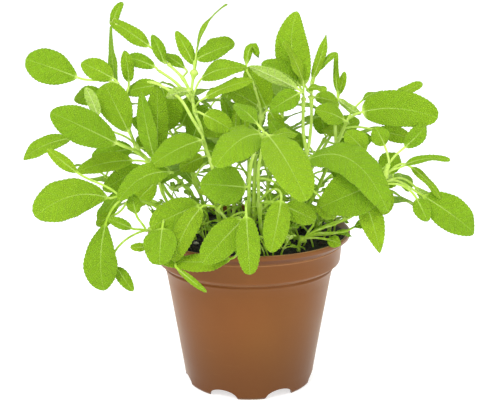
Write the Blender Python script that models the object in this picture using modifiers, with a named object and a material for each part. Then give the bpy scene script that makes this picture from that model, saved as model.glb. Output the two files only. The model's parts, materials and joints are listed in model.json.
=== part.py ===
"""Potted sage: a bushy young sage plant in a round brown nursery pot.

Every leafy shoot is one solid: its stems, petioles and leaves fused together, standing in a
plain hole in the potting soil. Lengths are in millimetres here and are scaled to metres when
the meshes are made. The viewer's side of the plant is -Y, and the pot stands on z = 0.
"""

import math
import random
from collections import namedtuple

import bmesh
import bpy
from mathutils import Matrix, Vector
from mathutils.bvhtree import BVHTree

MM = 0.001
MERGE = 0.00005            # metres; welds seams without closing any real gap

# Pot: a 12 cm nursery pot
POT_HEIGHT = 93.0
LIP_RADIUS = 60.0
BAND_RADIUS = 54.6         # rim band under the lip
LEDGE_RADIUS = 51.8        # rounded step where the wall starts
WALL_TOP_RADIUS = 49.6
FOOT_RADIUS = 37.8
SKIRT = 1.6                # thickness of the foot's edge
WALL = 1.3
FLOOR_Z = 8.6
POT_STEPS = 28
NOTCHES = 7
NOTCH_WIDTH = 18.0
NOTCH_HEIGHT = 5.4
NOTCH_TURN = -62.0         # degrees, of the first notch round the pot
DRAIN_HOLES = 4
DRAIN_RADIUS = 3.4
DRAIN_RING = 24.0

# Soil
SOIL_TOP = 88.6
SOIL_LUMP = 1.6
FIT = 0.3                  # clearance between touching solids
HOLE_DEPTH = 13.0

# Shoots
STEM_RADIUS = 1.25
BRANCH_RADIUS = 1.05
STEM_TIP_RADIUS = 0.75
STEM_SPACING = 20.0        # between the bends of a stem
PETIOLE_HALF = 0.8
RIB_THICKNESS = 1.3        # blade thickness along its midrib
CLEARANCE = 0.45           # kept between neighbouring shoots
SEED = 41

# The layout of the front shoots is drawn from a viewer's eye point. A point of it is given as
# (across, up, depth): where its line of sight crosses the pot's middle plane, and how far
# behind (+) or in front (-) of that plane it lies.
EYE = Vector((0.6, -586.0, 249.0))

# Which way the upper face of a leaf looks
FRONT = (0.0, -1.0, 0.45)
LEVEL = (0.0, -0.5, 1.0)
UNDER = (0.0, 1.0, 0.35)
LEFT = (-1.0, -0.35, 0.1)
RIGHT = (1.0, -0.35, 0.1)

Leaf = namedtuple("Leaf", "start base tip via form")
Form = namedtuple("Form", "width face arch bow blunt broad fold")


def leaf(start, base, tip, width, face=FRONT, arch=1.5, bow=0.0, via=None,
         blunt=0.62, broad=0.46, fold=None):
    """A leaf: where its petiole leaves the shoot, the ends of its blade, and how it is bent.

    arch raises the middle of the blade towards its upper face, or via says where it passes; bow
    lifts the petiole's middle. A small blunt gives round ends, broad says where the blade is
    widest, and fold lifts (+) or drops (-) its two halves.
    """
    return Leaf(start, base, tip, via, Form(width, Vector(face), arch, bow, blunt, broad, fold))


SPRIGS = {
    "sprig_left_high": {
        "root": (-24, 4),
        "stems": [[(-46, 112, 0), (-56, 130, 0), (-66, 143, 0), (-72, 162, 0), (-75, 179, 0)]],
        "leaves": [
            leaf((-75, 179), (-98.6, 182.6, -4), (-127.8, 193, -8), 20.5, blunt=0.5, broad=0.58),
            leaf((-75, 179), (-78, 182, 0), (-96, 191, 4), 13),
            leaf((-75, 179), (-75.4, 176, 3), (-78.2, 212, 8), 9, (-1, -0.7, 0.1), blunt=0.8),
            leaf((-73, 168), (-69, 180, 6), (-71, 198, 4), 8, (0.4, -1, 0.1)),
            leaf((-66, 143), (-70, 151, -10), (-83, 179, -6), 18.5, blunt=0.45, broad=0.6),
            leaf((-66, 143), (-87.4, 160.5, -20), (-94, 177, -18), 7.5, UNDER),
            leaf((-73, 166), (-84, 173, 12), (-101, 170, 16), 12, (0, -0.9, 0.5)),
            leaf((-62, 138), (-77, 144, -22), (-115, 162.5, -30), 20.5, arch=2, blunt=0.55,
                 broad=0.54),
            leaf((-60, 134), (-104, 147, -8), (-132, 134.5, -12), 12, (0, -0.8, 0.8), arch=4, bow=3),
        ],
    },
    "sprig_left_mid": {
        "root": (-32, -12),
        "stems": [[(-46, 105, -20), (-52, 118, -22), (-54.5, 131, -22)]],
        "leaves": [
            leaf((-54.5, 131), (-55, 134, -20), (-62, 174, -12), 12, (-0.5, -1, 0.1)),
            leaf((-54.5, 131), (-54, 135, -16), (-53, 179, -8), 14, (0.4, -1, 0.1)),
            leaf((-54, 128), (-68, 134, -6), (-101, 127, -8), 14, (0, -0.8, 0.8), arch=3),
            leaf((-54, 128), (-68, 141, 8), (-92, 136, 10), 14),
            leaf((-52, 124), (-46, 127, -34), (-77, 109.5, -48), 14, (0, -0.8, 0.7),
                 via=(-63, 123.5, -42)),
            leaf((-52, 124), (-62, 130, 2), (-86, 116, 4), 14),
            leaf((-50, 114), (-55, 121, -8), (-69, 106, -10), 12),
        ],
    },
    "sprig_left_arch": {
        "root": (-38, -17),
        "stems": [[(-52, 104, -28), (-64, 110, -32), (-76, 112.5, -34)]],
        "leaves": [
            leaf((-76, 112.5), (-83.5, 111.5, -38), (-127, 100, -54), 24, (0, -0.9, 0.6),
                 via=(-104.5, 112.5, -47), blunt=0.5, broad=0.6),
            leaf((-76, 112.5), (-101, 127, -32), (-118, 141, -32), 7, (-0.6, -0.6, 0.6)),
            leaf((-74, 112), (-85, 96, -36), (-87.5, 54, -42), 19.5, (-0.1, -1, 0.1), bow=2,
                 via=(-88.8, 74.5, -40), blunt=0.6, broad=0.6),
            leaf((-70, 112), (-80, 101, -24), (-91, 95, -24), 8),
        ],
    },
    "sprig_left_low": {
        "root": (-36, -27),
        "stems": [[(-48, 95, -36), (-61, 91.5, -42)]],
        "leaves": [
            leaf((-61, 91.5), (-80, 69, -34), (-70, 53.5, -38), 7.5, (0.3, -1, 0.2), bow=4),
            leaf((-61, 91.5), (-70, 93, -46), (-84, 99, -48), 6),
            leaf((-61, 91.5), (-67, 102, -44), (-69, 114, -42), 8),
            leaf((-59, 92), (-61.5, 81, -48), (-71, 81, -50), 5),
            leaf((-50, 95), (-51.5, 93, -60), (-53.5, 70, -68), 18, (-0.2, -1, 0.3), blunt=0.42),
            leaf((-48, 95), (-30, 107, -44), (-59, 93.5, -56), 18, arch=2, blunt=0.5),
        ],
    },
    "sprig_centre_left": {
        "root": (-16, -8),
        "stems": [
            [(-21, 116, -22), (-21.5, 130, -22), (-26, 144, -17), (-28, 154, -12),
             (-31, 162, -8), (-33, 174, -5), (-31, 188, -2)],
            [(-27, 148, -15), (-33, 159, -14), (-40, 170.5, -12), (-51, 178, -8),
             (-58, 180, -6)],
            [(-32, 168, -7), (-42, 179.5, 4), (-52.5, 187, 9)],
            [(-32, 171, -6), (-38, 182, 4), (-47, 191, 10)],
        ],
        "leaves": [
            leaf((-47, 191), (-48.5, 191, 8), (-55, 207, 10), 7.5, (0.3, -1, 0)),
            leaf((-52, 187), (-54, 188.5, 12), (-71, 193.5, 18), 9, arch=4),
            leaf((-47, 191), (-57, 200.4, 12), (-79, 215, 14), 9.5, (0, -1, 0.6), blunt=0.5),
            leaf((-76, 213), (-76.5, 212, 14), (-71, 225, 14), 5.5, (0, -1, 0), blunt=0.5,
                 via=(-75.3, 219, 14)),
            leaf((-38, 182), (-37, 188, 16), (-50, 196, 20), 7, (0, -0.8, 0.7)),
            leaf((-58, 180), (-52, 178, 0), (-71, 174, 6), 11, (0, -1, 0.6), blunt=0.5),
            leaf((-52, 178), (-50, 177, 6), (-46, 152, 8), 20, (0.3, -1, 0.2), blunt=0.5),
            leaf((-33, 174), (-35, 175, -12), (-48, 171, -14), 7, UNDER),
            leaf((-31, 186), (-31.5, 190, 0), (-41.5, 209, 2), 8, (0.2, -1, 0.1)),
            leaf((-31, 186), (-30, 197, 0), (-12, 224, 6), 5, (-0.8, -0.3, 0.6), arch=4),
            leaf((-31, 186), (-30, 193, -3), (-10, 201, 0), 11, arch=2),
            leaf((-31, 186), (-25, 198, 8), (-8, 202, 14), 12, (0, -0.8, 0.6)),
            leaf((-32, 172), (-27, 182, -8), (-1, 188, -16), 12, (0, -0.9, 0.6), arch=5),
            leaf((-31, 166), (-25, 171, -16), (3, 181, -22), 9, (0, -0.7, 0.8), arch=2),
            leaf((-30, 163), (-26, 161, -20), (-10, 152, -22), 13),
            leaf((-26, 145), (-28, 146, -24), (-57, 131, -36), 18, (0, -0.8, 0.7), arch=3),
            leaf((-22, 132), (-27, 136, -8), (-41, 129, -10), 12),
        ],
    },
    "sprig_front": {
        "root": (-3, -23),
        "stems": [
            [(-1, 96, -34), (0, 108, -42), (0.5, 128, -54), (4, 141, -60), (9, 150, -62)],
        ],
        "leaves": [
            leaf((9, 150), (7, 149.5, -68), (-20, 130, -86), 21, (-0.3, -0.75, 0.6),
                 via=(-6, 145.5, -76), blunt=0.5, fold=-0.2),
            leaf((9, 150), (11, 149, -72), (34, 109.5, -108), 21.5, (0.2, -0.95, 0.4), arch=4,
                 blunt=0.5, broad=0.52),
            leaf((0.5, 126), (-2, 118, -62), (-29, 120, -74), 21, (0, -1, 0.3)),
            leaf((-1, 98), (-1.5, 100, -72), (0.6, 64, -84), 12.5, (0, -1, 0.05), bow=5,
                 blunt=0.42, broad=0.5),
            leaf((9, 150), (4.5, 156, -56), (-9, 167, -50), 11, LEVEL),
        ],
    },
    "sprig_front_right": {
        "root": (9, -28),
        "stems": [[(7, 94, -38), (6, 108, -46), (5.5, 128, -46), (8, 142, -48)]],
        "leaves": [
            leaf((6, 110), (19, 110, -66), (13, 78, -78), 14, (0.1, -1, 0.1), bow=7, blunt=0.5),
            leaf((6, 108), (21, 106.5, -60), (39.5, 97.5, -60), 12, blunt=0.5),
            leaf((6, 104), (42, 112, -48), (51, 99, -46), 13, bow=3),
            leaf((5.5, 124), (15, 121, -50), (24, 114, -52), 8),
            leaf((8, 142), (14, 148, -44), (28, 150, -36), 10, LEVEL),
            leaf((8, 142), (3, 148, -40), (-12, 153, -34), 9, LEVEL),
        ],
    },
    "sprig_front_left": {
        "root": (-13, -26),
        "stems": [[(-13, 97, -42), (-20, 106, -50)]],
        "leaves": [
            leaf((-13, 97), (-4, 98, -66), (-28, 71.5, -76), 17.5, (-0.2, -1, 0.35), bow=2,
                 blunt=0.5),
            leaf((-20, 106), (-28.5, 105.5, -58), (-45, 72, -68), 13, (-0.2, -1, 0.4),
                 via=(-38.3, 91, -65), blunt=0.5),
            leaf((-13, 97), (-11.5, 74, -63), (-56, 74.5, -65), 12, (0, -0.6, 0.9), blunt=0.5,
                 via=(-33, 72, -65)),
            leaf((-43, 73), (-42.5, 67.5, -69), (-25.5, 53, -74), 3.6, (0, -1, 0.3)),
            leaf((-18, 104), (-16, 112, -36), (-30, 116, -34), 9, LEVEL),
        ],
    },
    "sprig_right_high": {
        "root": (16, -5),
        "stems": [
            [(25, 108, -10), (33, 133, -12), (36, 154, -10), (36, 173, -8)],
            [(34, 136, -12), (31.5, 152, -14), (31.5, 172, -13)],
        ],
        "leaves": [
            leaf((36, 172), (32, 178, -9), (27.2, 220, -2), 19.5, (-0.1, -1, 0.1), broad=0.42,
                 via=(24.5, 199, -7)),
            leaf((31.5, 171), (31, 179.5, -16), (19.4, 203, -14), 10, (0.85, -0.4, -0.5), blunt=0.5),
            leaf((36, 173), (36.5, 182, -4), (44, 207, 0), 7, (0.5, -1, 0), blunt=0.9, broad=0.4),
            leaf((31.5, 172), (28, 179, -18), (7, 190.5, -22), 14, (0, -0.9, 0.6), arch=3),
            leaf((31.5, 171), (28, 176, -24), (0, 189, -30), 8, UNDER),
            leaf((36, 171), (34, 176, -14), (45, 175, -18), 7, LEVEL),
            leaf((31.5, 169), (29, 173.5, -24), (12, 163, -30), 12),
            leaf((36, 168), (38, 171, -4), (52, 167, -2), 11, (0, -0.8, 0.8)),
            leaf((36, 172), (40, 187, 0), (50, 197, 2), 4, (-0.6, -0.8, 0)),
            leaf((33, 128), (34, 134, -28), (82, 103, -62), 22, (0.15, -0.8, 0.65),
                 via=(60, 134, -53), blunt=0.5),
            leaf((33, 133), (22, 140, -6), (12, 158, -4), 11, (0.3, -1, 0.3)),
        ],
    },
    "sprig_right": {
        "root": (27, 4),
        "stems": [
            [(38, 112, 8), (49, 138, 6), (57, 158, -2)],
            [(50, 141, 6), (50, 156, 8), (51, 169, 8)],
        ],
        "leaves": [
            leaf((57, 158), (65.5, 162.5, -8), (109.5, 159, -18), 21, (0, -1, 0.3), blunt=0.42,
                 broad=0.5, via=(86, 164.5, -13)),
            leaf((51, 167), (52, 170, 2), (65, 161, -2), 5, UNDER, arch=-2),
            leaf((57, 158), (84, 170, 6), (100, 179, 8), 8, (0, -0.8, 0.9)),
            leaf((57, 158), (65, 169, 4), (78, 174, 6), 5, LEVEL, arch=2),
            leaf((57, 158), (55, 158, -16), (38, 164, -20), 14, (0, -0.8, 0.7)),
            leaf((51, 169), (51, 174, 8), (50, 197, 8), 3.8, (-0.5, -1, 0)),
            leaf((51, 169), (52, 173, 12), (55, 186, 14), 4.6),
            leaf((55, 152), (74, 152, 4), (97, 146, 8), 10),
            leaf((53, 146), (58, 148, 14), (42, 152, 18), 12, LEVEL),
        ],
    },
    "sprig_right_low": {
        "root": (22, -18),
        "stems": [
            [(33, 87, -22), (45, 94, -26), (60, 100, -30), (71, 110, -36), (78, 120, -40)],
            [(78, 120, -40), (80, 126, -36), (82, 133, -34)],
        ],
        "leaves": [
            leaf((78, 120), (78, 121, -41), (42, 105.5, -48), 26, (-0.1, -1, 0.5), arch=2),
            leaf((75, 115), (67, 112, -54), (78.3, 77.5, -60), 13.5, (0.1, -1, 0.3), blunt=0.8,
                 broad=0.4, via=(73.5, 96, -58)),
            leaf((78, 120), (79, 118, -48), (80, 101, -54), 11, (0.3, -1, 0.3)),
            leaf((78, 120), (103, 112.5, -24), (134, 90, -28), 20, (-0.3, -1, 0.6), arch=5, bow=4),
            leaf((78, 119), (99, 111, -34), (106, 97, -38), 10, (0, -1, 0.3), bow=2),
            leaf((78, 120), (98, 118, -28), (122, 98, -24), 8, UNDER, arch=-2),
            leaf((80, 126), (91, 131, -30), (118, 134, -34), 7, LEVEL, arch=3),
            leaf((80, 125), (95, 130, -24), (113, 111, -28), 6, (0.5, -0.8, 0.5), arch=2),
            leaf((78, 121), (68, 139, -34), (56, 151, -36), 14, bow=2),
            leaf((82, 133), (79, 143, -32), (73, 154, -30), 11, bow=1),
            leaf((82, 132), (91, 142, -24), (103, 155, -20), 10, (0.1, -1, 0.1)),
            leaf((80, 126), (77, 128, -22), (88, 137, -18), 13),
            leaf((78, 119), (80, 118, -30), (88, 122, -28), 5),
        ],
    },
    "sprig_centre": {
        "root": (3, 0),
        "stems": [[(3, 110, 0), (4, 140, 0), (7, 160, 0), (3, 178, 3)]],
        "leaves": [
            leaf((7, 160), (10, 165, 4), (0, 189, 10), 18, (-0.2, -1, 0.2)),
            leaf((7, 160), (5, 166, -4), (-14, 176, -10), 13, (0, -0.8, 0.6)),
            leaf((3, 178), (-1.5, 190, 4), (5.5, 193.5, 4), 6, (-0.6, -0.8, 0.6), blunt=0.5,
                 via=(1.5, 200, 4)),
            leaf((4, 146), (-3, 150, -8), (-1, 167, -10), 5),
            leaf((4, 144), (-8, 150, -6), (-7, 168, -6), 5),
            leaf((4, 142), (-9, 152, -2), (-16, 171, -2), 6),
            leaf((7, 158), (12, 163, 2), (20, 148, 0), 9),
            leaf((6, 152), (-6, 156, 6), (-31, 152, 10), 15),
            leaf((4, 136), (10, 140, 10), (30, 146, 14), 12),
        ],
    },
    "sprig_behind_left": {
        "root": (-12, 14),
        "stems": [[(-28, 118, 22), (-38, 140, 26), (-43, 152, 28)]],
        "leaves": [
            leaf((-43, 152), (-44, 154, 26), (-50, 170, 22), 15, (0.2, -1, 0.2)),
            leaf((-43, 152), (-39, 155, 28), (-30, 172, 30), 13, (-0.2, -1, 0.3)),
            leaf((-41, 148), (-47, 150, 24), (-68, 158, 24), 14),
            leaf((-38, 140), (-46, 140, 20), (-66, 147, 16), 14),
            leaf((-34, 132), (-26, 140, 18), (-12, 137, 14), 13),
            leaf((-36, 136), (-33, 146, 20), (-25, 167, 18), 14),
        ],
    },
    "sprig_behind_right": {
        "root": (17, 14),
        "stems": [[(27, 112, 22), (38, 136, 26), (45, 148, 28)]],
        "leaves": [
            leaf((45, 148), (44, 150, 26), (40, 166, 22), 12, (0.1, -1, 0.3)),
            leaf((45, 148), (48, 150, 30), (64, 158, 32), 13),
            leaf((43, 145), (52, 144, 24), (72, 147, 20), 13),
            leaf((38, 136), (31, 140, 20), (19, 152, 16), 12),
            leaf((36, 132), (48, 130, 18), (66, 124, 14), 14),
        ],
    },
    "sprig_rim_right": {
        "root": (28, -34),
        "stems": [[(31, 85, -35), (34, 88, -35)]],
        "leaves": [
            leaf((34, 88), (57, 100, -36), (68, 106, -38), 5, LEVEL),
            leaf((33, 87), (62, 93.5, -32), (74, 96, -32), 5.5, LEVEL),
            leaf((32, 86), (47, 86, -38), (55, 83, -40), 7),
            leaf((34, 88), (38, 98, -28), (31, 108, -26), 10),
            leaf((32, 86), (52, 90, -24), (61, 88, -20), 6, LEVEL),
        ],
    },
}

# Shoots of the far side and of the middle, grown by rule
Ring = namedtuple("Ring", "kind count root reach top sweep lean")
RINGS = (                          # sweep is centred on the far side
    Ring("inner", 3, 10.0, 22.0, 160.0, 200.0, 0.0),
    Ring("middle", 4, 30.0, 60.0, 154.0, 156.0, 0.6),
    Ring("outer", 5, 40.0, 93.0, 122.0, 196.0, 1.0),
)
BLADE_LENGTH = (42.0, 25.0)        # of a shoot's lowest and topmost leaves
ROW_SPACING = (8.4, 11.0)          # between sections of a laid-out blade, and of a grown one
BLADE_SHAPE = 0.43                 # blade width over its length
PAIR_SHARES = (0.46, 0.66, 0.84, 1.0)     # where the leaf pairs sit along a stem
BEND_HEIGHT = 42.0                 # of a stem's bend, above half of the shoot's height

DEPTH_TRIALS = (0, 4, -4, 8, -8, 12, -12, 17, -17, 23, -23)
TILT_TRIALS = (0, -6, 6, 12, -12)
TURN_TRIALS = (0, 14, -14, 28, -28, 45, -45)
LIFT_TRIALS = (0.0, 0.5, 1.1, -0.3)
SPREAD_TRIALS = (1.0, 0.82, 1.12)


# ---------------------------------------------------------------- materials and objects

def material(name, colour, roughness):
    """A Principled material."""
    made = bpy.data.materials.new(name)
    made.use_nodes = True
    shader = made.node_tree.nodes["Principled BSDF"]
    shader.inputs["Base Color"].default_value = (*colour, 1.0)
    shader.inputs["Roughness"].default_value = roughness
    shader.inputs["Metallic"].default_value = 0.0
    return made


def collection(name):
    made = bpy.data.collections.new(name)
    bpy.context.scene.collection.children.link(made)
    return made


def add_object(name, mesh, home, finish=None):
    """Link a mesh to a collection as an object."""
    made = bpy.data.objects.new(name, mesh)
    home.objects.link(made)
    if finish:
        mesh.materials.clear()
        mesh.materials.append(finish)
    return made


def bake_modifiers(target):
    """Replace an object's mesh by its evaluated mesh."""
    evaluated = target.evaluated_get(bpy.context.evaluated_depsgraph_get())
    baked = bpy.data.meshes.new_from_object(evaluated)
    target.modifiers.clear()
    target.data = baked


def boolean(target, others, operation, solver="EXACT"):
    """Cut or join a whole collection at once, then drop it."""
    step = target.modifiers.new("boolean", "BOOLEAN")
    step.operation = operation
    step.operand_type = "COLLECTION"
    step.collection = others
    step.solver = solver
    bake_modifiers(target)
    for used in list(others.objects):
        bpy.data.objects.remove(used)
    bpy.data.collections.remove(others)


def drop_scraps(mesh):
    """Keep only the largest connected body of a mesh."""
    work = bmesh.new()
    work.from_mesh(mesh)
    left = set(work.verts)
    bodies = []
    while left:
        body = {left.pop()}
        edge = list(body)
        while edge:
            grown = {other.other_vert(vertex) for vertex in edge for other in vertex.link_edges}
            edge = list(grown - body)
            body |= grown
        left -= body
        bodies.append(body)
    largest = max(bodies, key=len)
    for body in bodies:
        if body is not largest:
            bmesh.ops.delete(work, geom=list(body), context="VERTS")
    work.to_mesh(mesh)
    work.free()


def mesh_from(name, points, faces):
    """A closed mesh, in metres, from points in millimetres."""
    mesh = bpy.data.meshes.new(name)
    mesh.from_pydata([point * MM for point in points], [], faces)
    work = bmesh.new()
    work.from_mesh(mesh)
    bmesh.ops.recalc_face_normals(work, faces=work.faces)
    work.to_mesh(mesh)
    work.free()
    return mesh


# ---------------------------------------------------------------- pot and soil

def arc(centre, radius, first, last, steps):
    """Points of an arc in the (radius, height) plane; angles in degrees."""
    angles = [math.radians(first + (last - first) * i / steps) for i in range(steps + 1)]
    return [(centre[0] + radius * math.cos(a), centre[1] + radius * math.sin(a)) for a in angles]


def pot_profile():
    """Half section of the pot, from the floor's top, over the lip and down the outside."""
    inner = [
        (0.0, FLOOR_Z),
        (FOOT_RADIUS + 0.3, FLOOR_Z),
        (WALL_TOP_RADIUS - WALL, 70.0),
        (LEDGE_RADIUS - WALL, 74.0),
        (BAND_RADIUS - WALL - 0.2, 80.0),
    ]
    lip = arc((LIP_RADIUS - 0.9, POT_HEIGHT - 0.9), 0.9, 90, 0, 2)
    outer = [
        (LIP_RADIUS - 0.2, POT_HEIGHT - 2.9),
        (BAND_RADIUS + 1.0, 86.8),
        (BAND_RADIUS + 0.5, 85.4),
        (BAND_RADIUS - 0.5, 75.6),
        (LEDGE_RADIUS + 0.6, 73.0),
        (LEDGE_RADIUS - 1.4, 71.8),
        (WALL_TOP_RADIUS, 70.4),
        (47.2, 55.5),
        (FOOT_RADIUS + 1.8, 9.0),
        (FOOT_RADIUS + 0.7, 3.0),
    ]
    foot = [
        (FOOT_RADIUS - 0.2, 0.0),
        (FOOT_RADIUS - SKIRT, 0.0),
        (FOOT_RADIUS, FLOOR_Z - WALL),
        (0.0, FLOOR_Z - WALL),
    ]
    return inner + [(LIP_RADIUS - 4.6, 88.0)] + lip + outer + foot


def turned(name, profile, home, steps=POT_STEPS):
    """A solid of revolution about the z axis."""
    mesh = bpy.data.meshes.new(name)
    points = [(radius * MM, 0.0, height * MM) for radius, height in profile]
    mesh.from_pydata(points, [(i, i + 1) for i in range(len(points) - 1)], [])
    solid = add_object(name, mesh, home)
    screw = solid.modifiers.new("turn", "SCREW")
    screw.steps = steps
    screw.render_steps = steps
    screw.use_merge_vertices = True
    screw.merge_threshold = MERGE
    bake_modifiers(solid)
    return solid


def cutter_cylinder(name, radius, depth, placement, home, sides):
    """A cylinder primitive used to cut; sizes in millimetres, placed by a matrix."""
    mesh = bpy.data.meshes.new(name)
    work = bmesh.new()
    bmesh.ops.create_cone(
        work, cap_ends=True, segments=sides, radius1=radius * MM, radius2=radius * MM,
        depth=depth * MM, matrix=placement)
    work.to_mesh(mesh)
    work.free()
    cutter = add_object(name, mesh, home)
    cutter.hide_render = True
    cutter.display_type = "WIRE"
    return cutter


def make_pot(home, finish):
    """The pot: a turned shell with arched notches in its foot and drain holes in its floor."""
    pot = turned("pot", pot_profile(), home)
    pot.data.materials.append(finish)
    cutters = collection("pot cutters")
    for i in range(NOTCHES):
        around = Matrix.Rotation(math.radians(NOTCH_TURN) + math.tau * i / NOTCHES, 4, "Z")
        arch = (Matrix.Translation((FOOT_RADIUS * MM, 0, 0))
                @ Matrix.Diagonal((1, 1, 2 * NOTCH_HEIGHT / NOTCH_WIDTH, 1))
                @ Matrix.Rotation(math.pi / 2, 4, "Y"))
        cutter_cylinder(f"notch_{i}", NOTCH_WIDTH / 2, 9.0, around @ arch, cutters, 10)
    for i in range(DRAIN_HOLES):
        angle = math.tau * i / DRAIN_HOLES
        place = Vector((math.cos(angle), math.sin(angle), 0)) * DRAIN_RING
        place.z = FLOOR_Z - WALL / 2
        cutter_cylinder(f"drain_{i}", DRAIN_RADIUS, 4 * WALL, Matrix.Translation(place * MM),
                        cutters, 8)
    boolean(pot, cutters, "DIFFERENCE")
    shade(pot)
    return pot


def soil_height(x, y):
    """Height of the crumbly top of the soil."""
    waves = (math.sin(x * 0.31 + 1.3) * math.cos(y * 0.27)
             + 0.6 * math.sin(x * 0.83 + y * 0.71)
             + 0.4 * math.cos(x * 1.37 - y * 1.13))
    return SOIL_TOP + SOIL_LUMP * 0.5 * waves


def make_soil(home, finish):
    """The potting soil: it fills the pot to just under the lip, with a crumbly top."""
    profile = [
        (0.0, SOIL_TOP),
        (16.0, SOIL_TOP),
        (32.0, SOIL_TOP),
        (48.0, SOIL_TOP),
        (BAND_RADIUS - WALL, SOIL_TOP - 1.6),
        (BAND_RADIUS - WALL - 0.2 - FIT - 0.4, 80.0),
        (LEDGE_RADIUS - WALL - FIT - 0.3, 74.0),
        (WALL_TOP_RADIUS - WALL - FIT - 0.3, 70.0),
        (FOOT_RADIUS - FIT - 0.3, FLOOR_Z + FIT),
        (0.0, FLOOR_Z + FIT),
    ]
    soil = turned("soil", profile, home, steps=16)
    soil.data.materials.append(finish)
    for vertex in soil.data.vertices:
        if vertex.co.z > (SOIL_TOP - 3.0) * MM:
            lift = soil_height(vertex.co.x / MM, vertex.co.y / MM) - SOIL_TOP
            vertex.co.z += lift * MM
    return soil


def shade(target):
    """Smooth shading with sharp corners kept."""
    target.data.shade_smooth()
    target.data.set_sharp_from_angle(angle=math.radians(32))


# ---------------------------------------------------------------- growth

def world(point, shift=0.0):
    """The place of an (across, up, depth) layout point, moved along its line of sight."""
    across, up, depth = point
    on_plane = Vector((across, 0.0, up))
    return EYE + (on_plane - EYE) * ((depth + shift - EYE.y) / -EYE.y)


def cubic(a, b, c, d, t):
    """A point of a cubic Bezier curve."""
    s = 1.0 - t
    return a * s ** 3 + b * 3 * s * s * t + c * 3 * s * t * t + d * t ** 3


def smooth_route(points, spacing):
    """A smooth curve through the points, sampled about every `spacing` millimetres."""
    padded = [2 * points[0] - points[1]] + points + [2 * points[-1] - points[-2]]
    route = []
    for i in range(1, len(padded) - 2):
        before, a, b, after = padded[i - 1:i + 3]
        count = max(1, round((b - a).length / spacing))
        for j in range(count):
            route.append(cubic(a, a + (b - before) / 6, b - (after - a) / 6, b, j / count))
    return route + [points[-1]]


class Stem:
    """A round stem along a smooth route, thinner towards its top."""

    def __init__(self, waypoints, radius, rounding):
        self.waypoints = waypoints
        self.radius = radius
        self.rounding = rounding
        self.route = smooth_route(waypoints, STEM_SPACING)

    def mesh(self, name, grow=0.0):
        curve = bpy.data.curves.new(name, "CURVE")
        curve.dimensions = "3D"
        curve.bevel_depth = MM
        curve.bevel_resolution = self.rounding
        curve.use_fill_caps = True
        spline = curve.splines.new("POLY")
        spline.points.add(len(self.route) - 1)
        for number, (knot, place) in enumerate(zip(spline.points, self.route)):
            share = number / (len(self.route) - 1)
            knot.co = (*(place * MM), 1.0)
            knot.radius = self.radius + (STEM_TIP_RADIUS - self.radius) * share + grow
        wire = bpy.data.objects.new(name, curve)
        bpy.context.scene.collection.objects.link(wire)
        evaluated = wire.evaluated_get(bpy.context.evaluated_depsgraph_get())
        mesh = bpy.data.meshes.new_from_object(evaluated)
        bpy.data.objects.remove(wire)
        work = bmesh.new()
        work.from_mesh(mesh)
        bmesh.ops.remove_doubles(work, verts=work.verts, dist=MERGE)
        bmesh.ops.recalc_face_normals(work, faces=work.faces)
        work.to_mesh(mesh)
        work.free()
        return mesh


def blade_half(t, form):
    """Half width of a sage blade along its length, as a share of its greatest half width."""
    return math.sin(math.pi * t ** (math.log(0.5) / math.log(form.broad))) ** form.blunt


class Blade:
    """A leaf: petiole and blade lofted along one spine."""

    def __init__(self, start, base, tip, via, form, wave, spacing):
        self.base = base
        self.tip = tip
        self.form = form
        self.wave = wave if form.fold is None else (form.fold, *wave[1:])
        self.length = (tip - base).length
        along = (tip - base).normalized()
        self.up = (form.face - along * form.face.dot(along)).normalized()
        self.rise = via - (base + tip) / 2 if via else self.up * form.arch
        entry = (along + self.rise * (4.0 / self.length)).normalized()
        reach = base - start
        lift = Vector((0, 0, 1)) * (form.bow + 0.12 * reach.length)
        self.lead = (start, start + reach * 0.35 + lift, base - entry * reach.length * 0.4)
        count = max(3, min(8, round(self.length / spacing)))
        shares = [0.4 * i / count + 0.3 - 0.3 * math.cos(math.pi * i / count)
                  for i in range(count)]
        self.spine = [self.petiole(0.0), self.petiole(0.45)]
        self.spine += [self.midrib(t) for t in shares] + [tip]
        self.shares = [None, None] + shares + [1.0]

    def petiole(self, t):
        return cubic(*self.lead, self.base, t)

    def midrib(self, t):
        return self.base.lerp(self.tip, t) + self.rise * (4 * t * (1 - t))

    def rings(self, grow=0.0):
        """Left, top, right and bottom point of each section; grow thickens it all round."""
        rings = []
        for i, (place, share) in enumerate(zip(self.spine, self.shares)):
            if i == len(self.spine) - 1:
                break
            ahead = self.spine[i + 1] - self.spine[max(i - 1, 0)]
            side = ahead.cross(self.up).normalized()
            up = side.cross(ahead).normalized()
            if share is None or share == 0.0:
                half, thick, lift = PETIOLE_HALF, 2 * PETIOLE_HALF, 0.0
            else:
                half = max(PETIOLE_HALF, self.form.width / 2 * blade_half(share, self.form))
                half *= 1.0 + 0.035 * (-1) ** i
                thick = RIB_THICKNESS - 0.4 * share
                lift = half * self.wave[0]
            ripple = 0.0 if share is None else self.wave[1] * math.sin(9.0 * share + self.wave[2])
            half += grow
            top = up * (thick / 2 + grow)
            rings.append([
                place - side * half + up * (lift + ripple),
                place + top,
                place + side * half + up * (lift - ripple),
                place - top,
            ])
        return rings

    def solid(self, grow=0.0):
        """Points and triangles of the closed leaf, split alike on both faces."""
        rings = self.rings(grow)
        points = [point for ring in rings for point in ring] + [self.spine[-1]]
        faces = [(0, 1, 2), (0, 2, 3)]
        for i in range(len(rings) - 1):
            left, top, right, bottom = range(4 * i, 4 * i + 4)
            for inner in (top, bottom):
                faces.append((left, inner, inner + 4))
                faces.append((left, inner + 4, left + 4))
                faces.append((right, inner, inner + 4))
                faces.append((right, inner + 4, right + 4))
        left, top, right, bottom = range(4 * len(rings) - 4, 4 * len(rings))
        peak = len(points) - 1
        faces += [(left, top, peak), (top, right, peak), (right, bottom, peak),
                  (bottom, left, peak)]
        return points, faces

    def mesh(self, name):
        return mesh_from(name, *self.solid())


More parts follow.
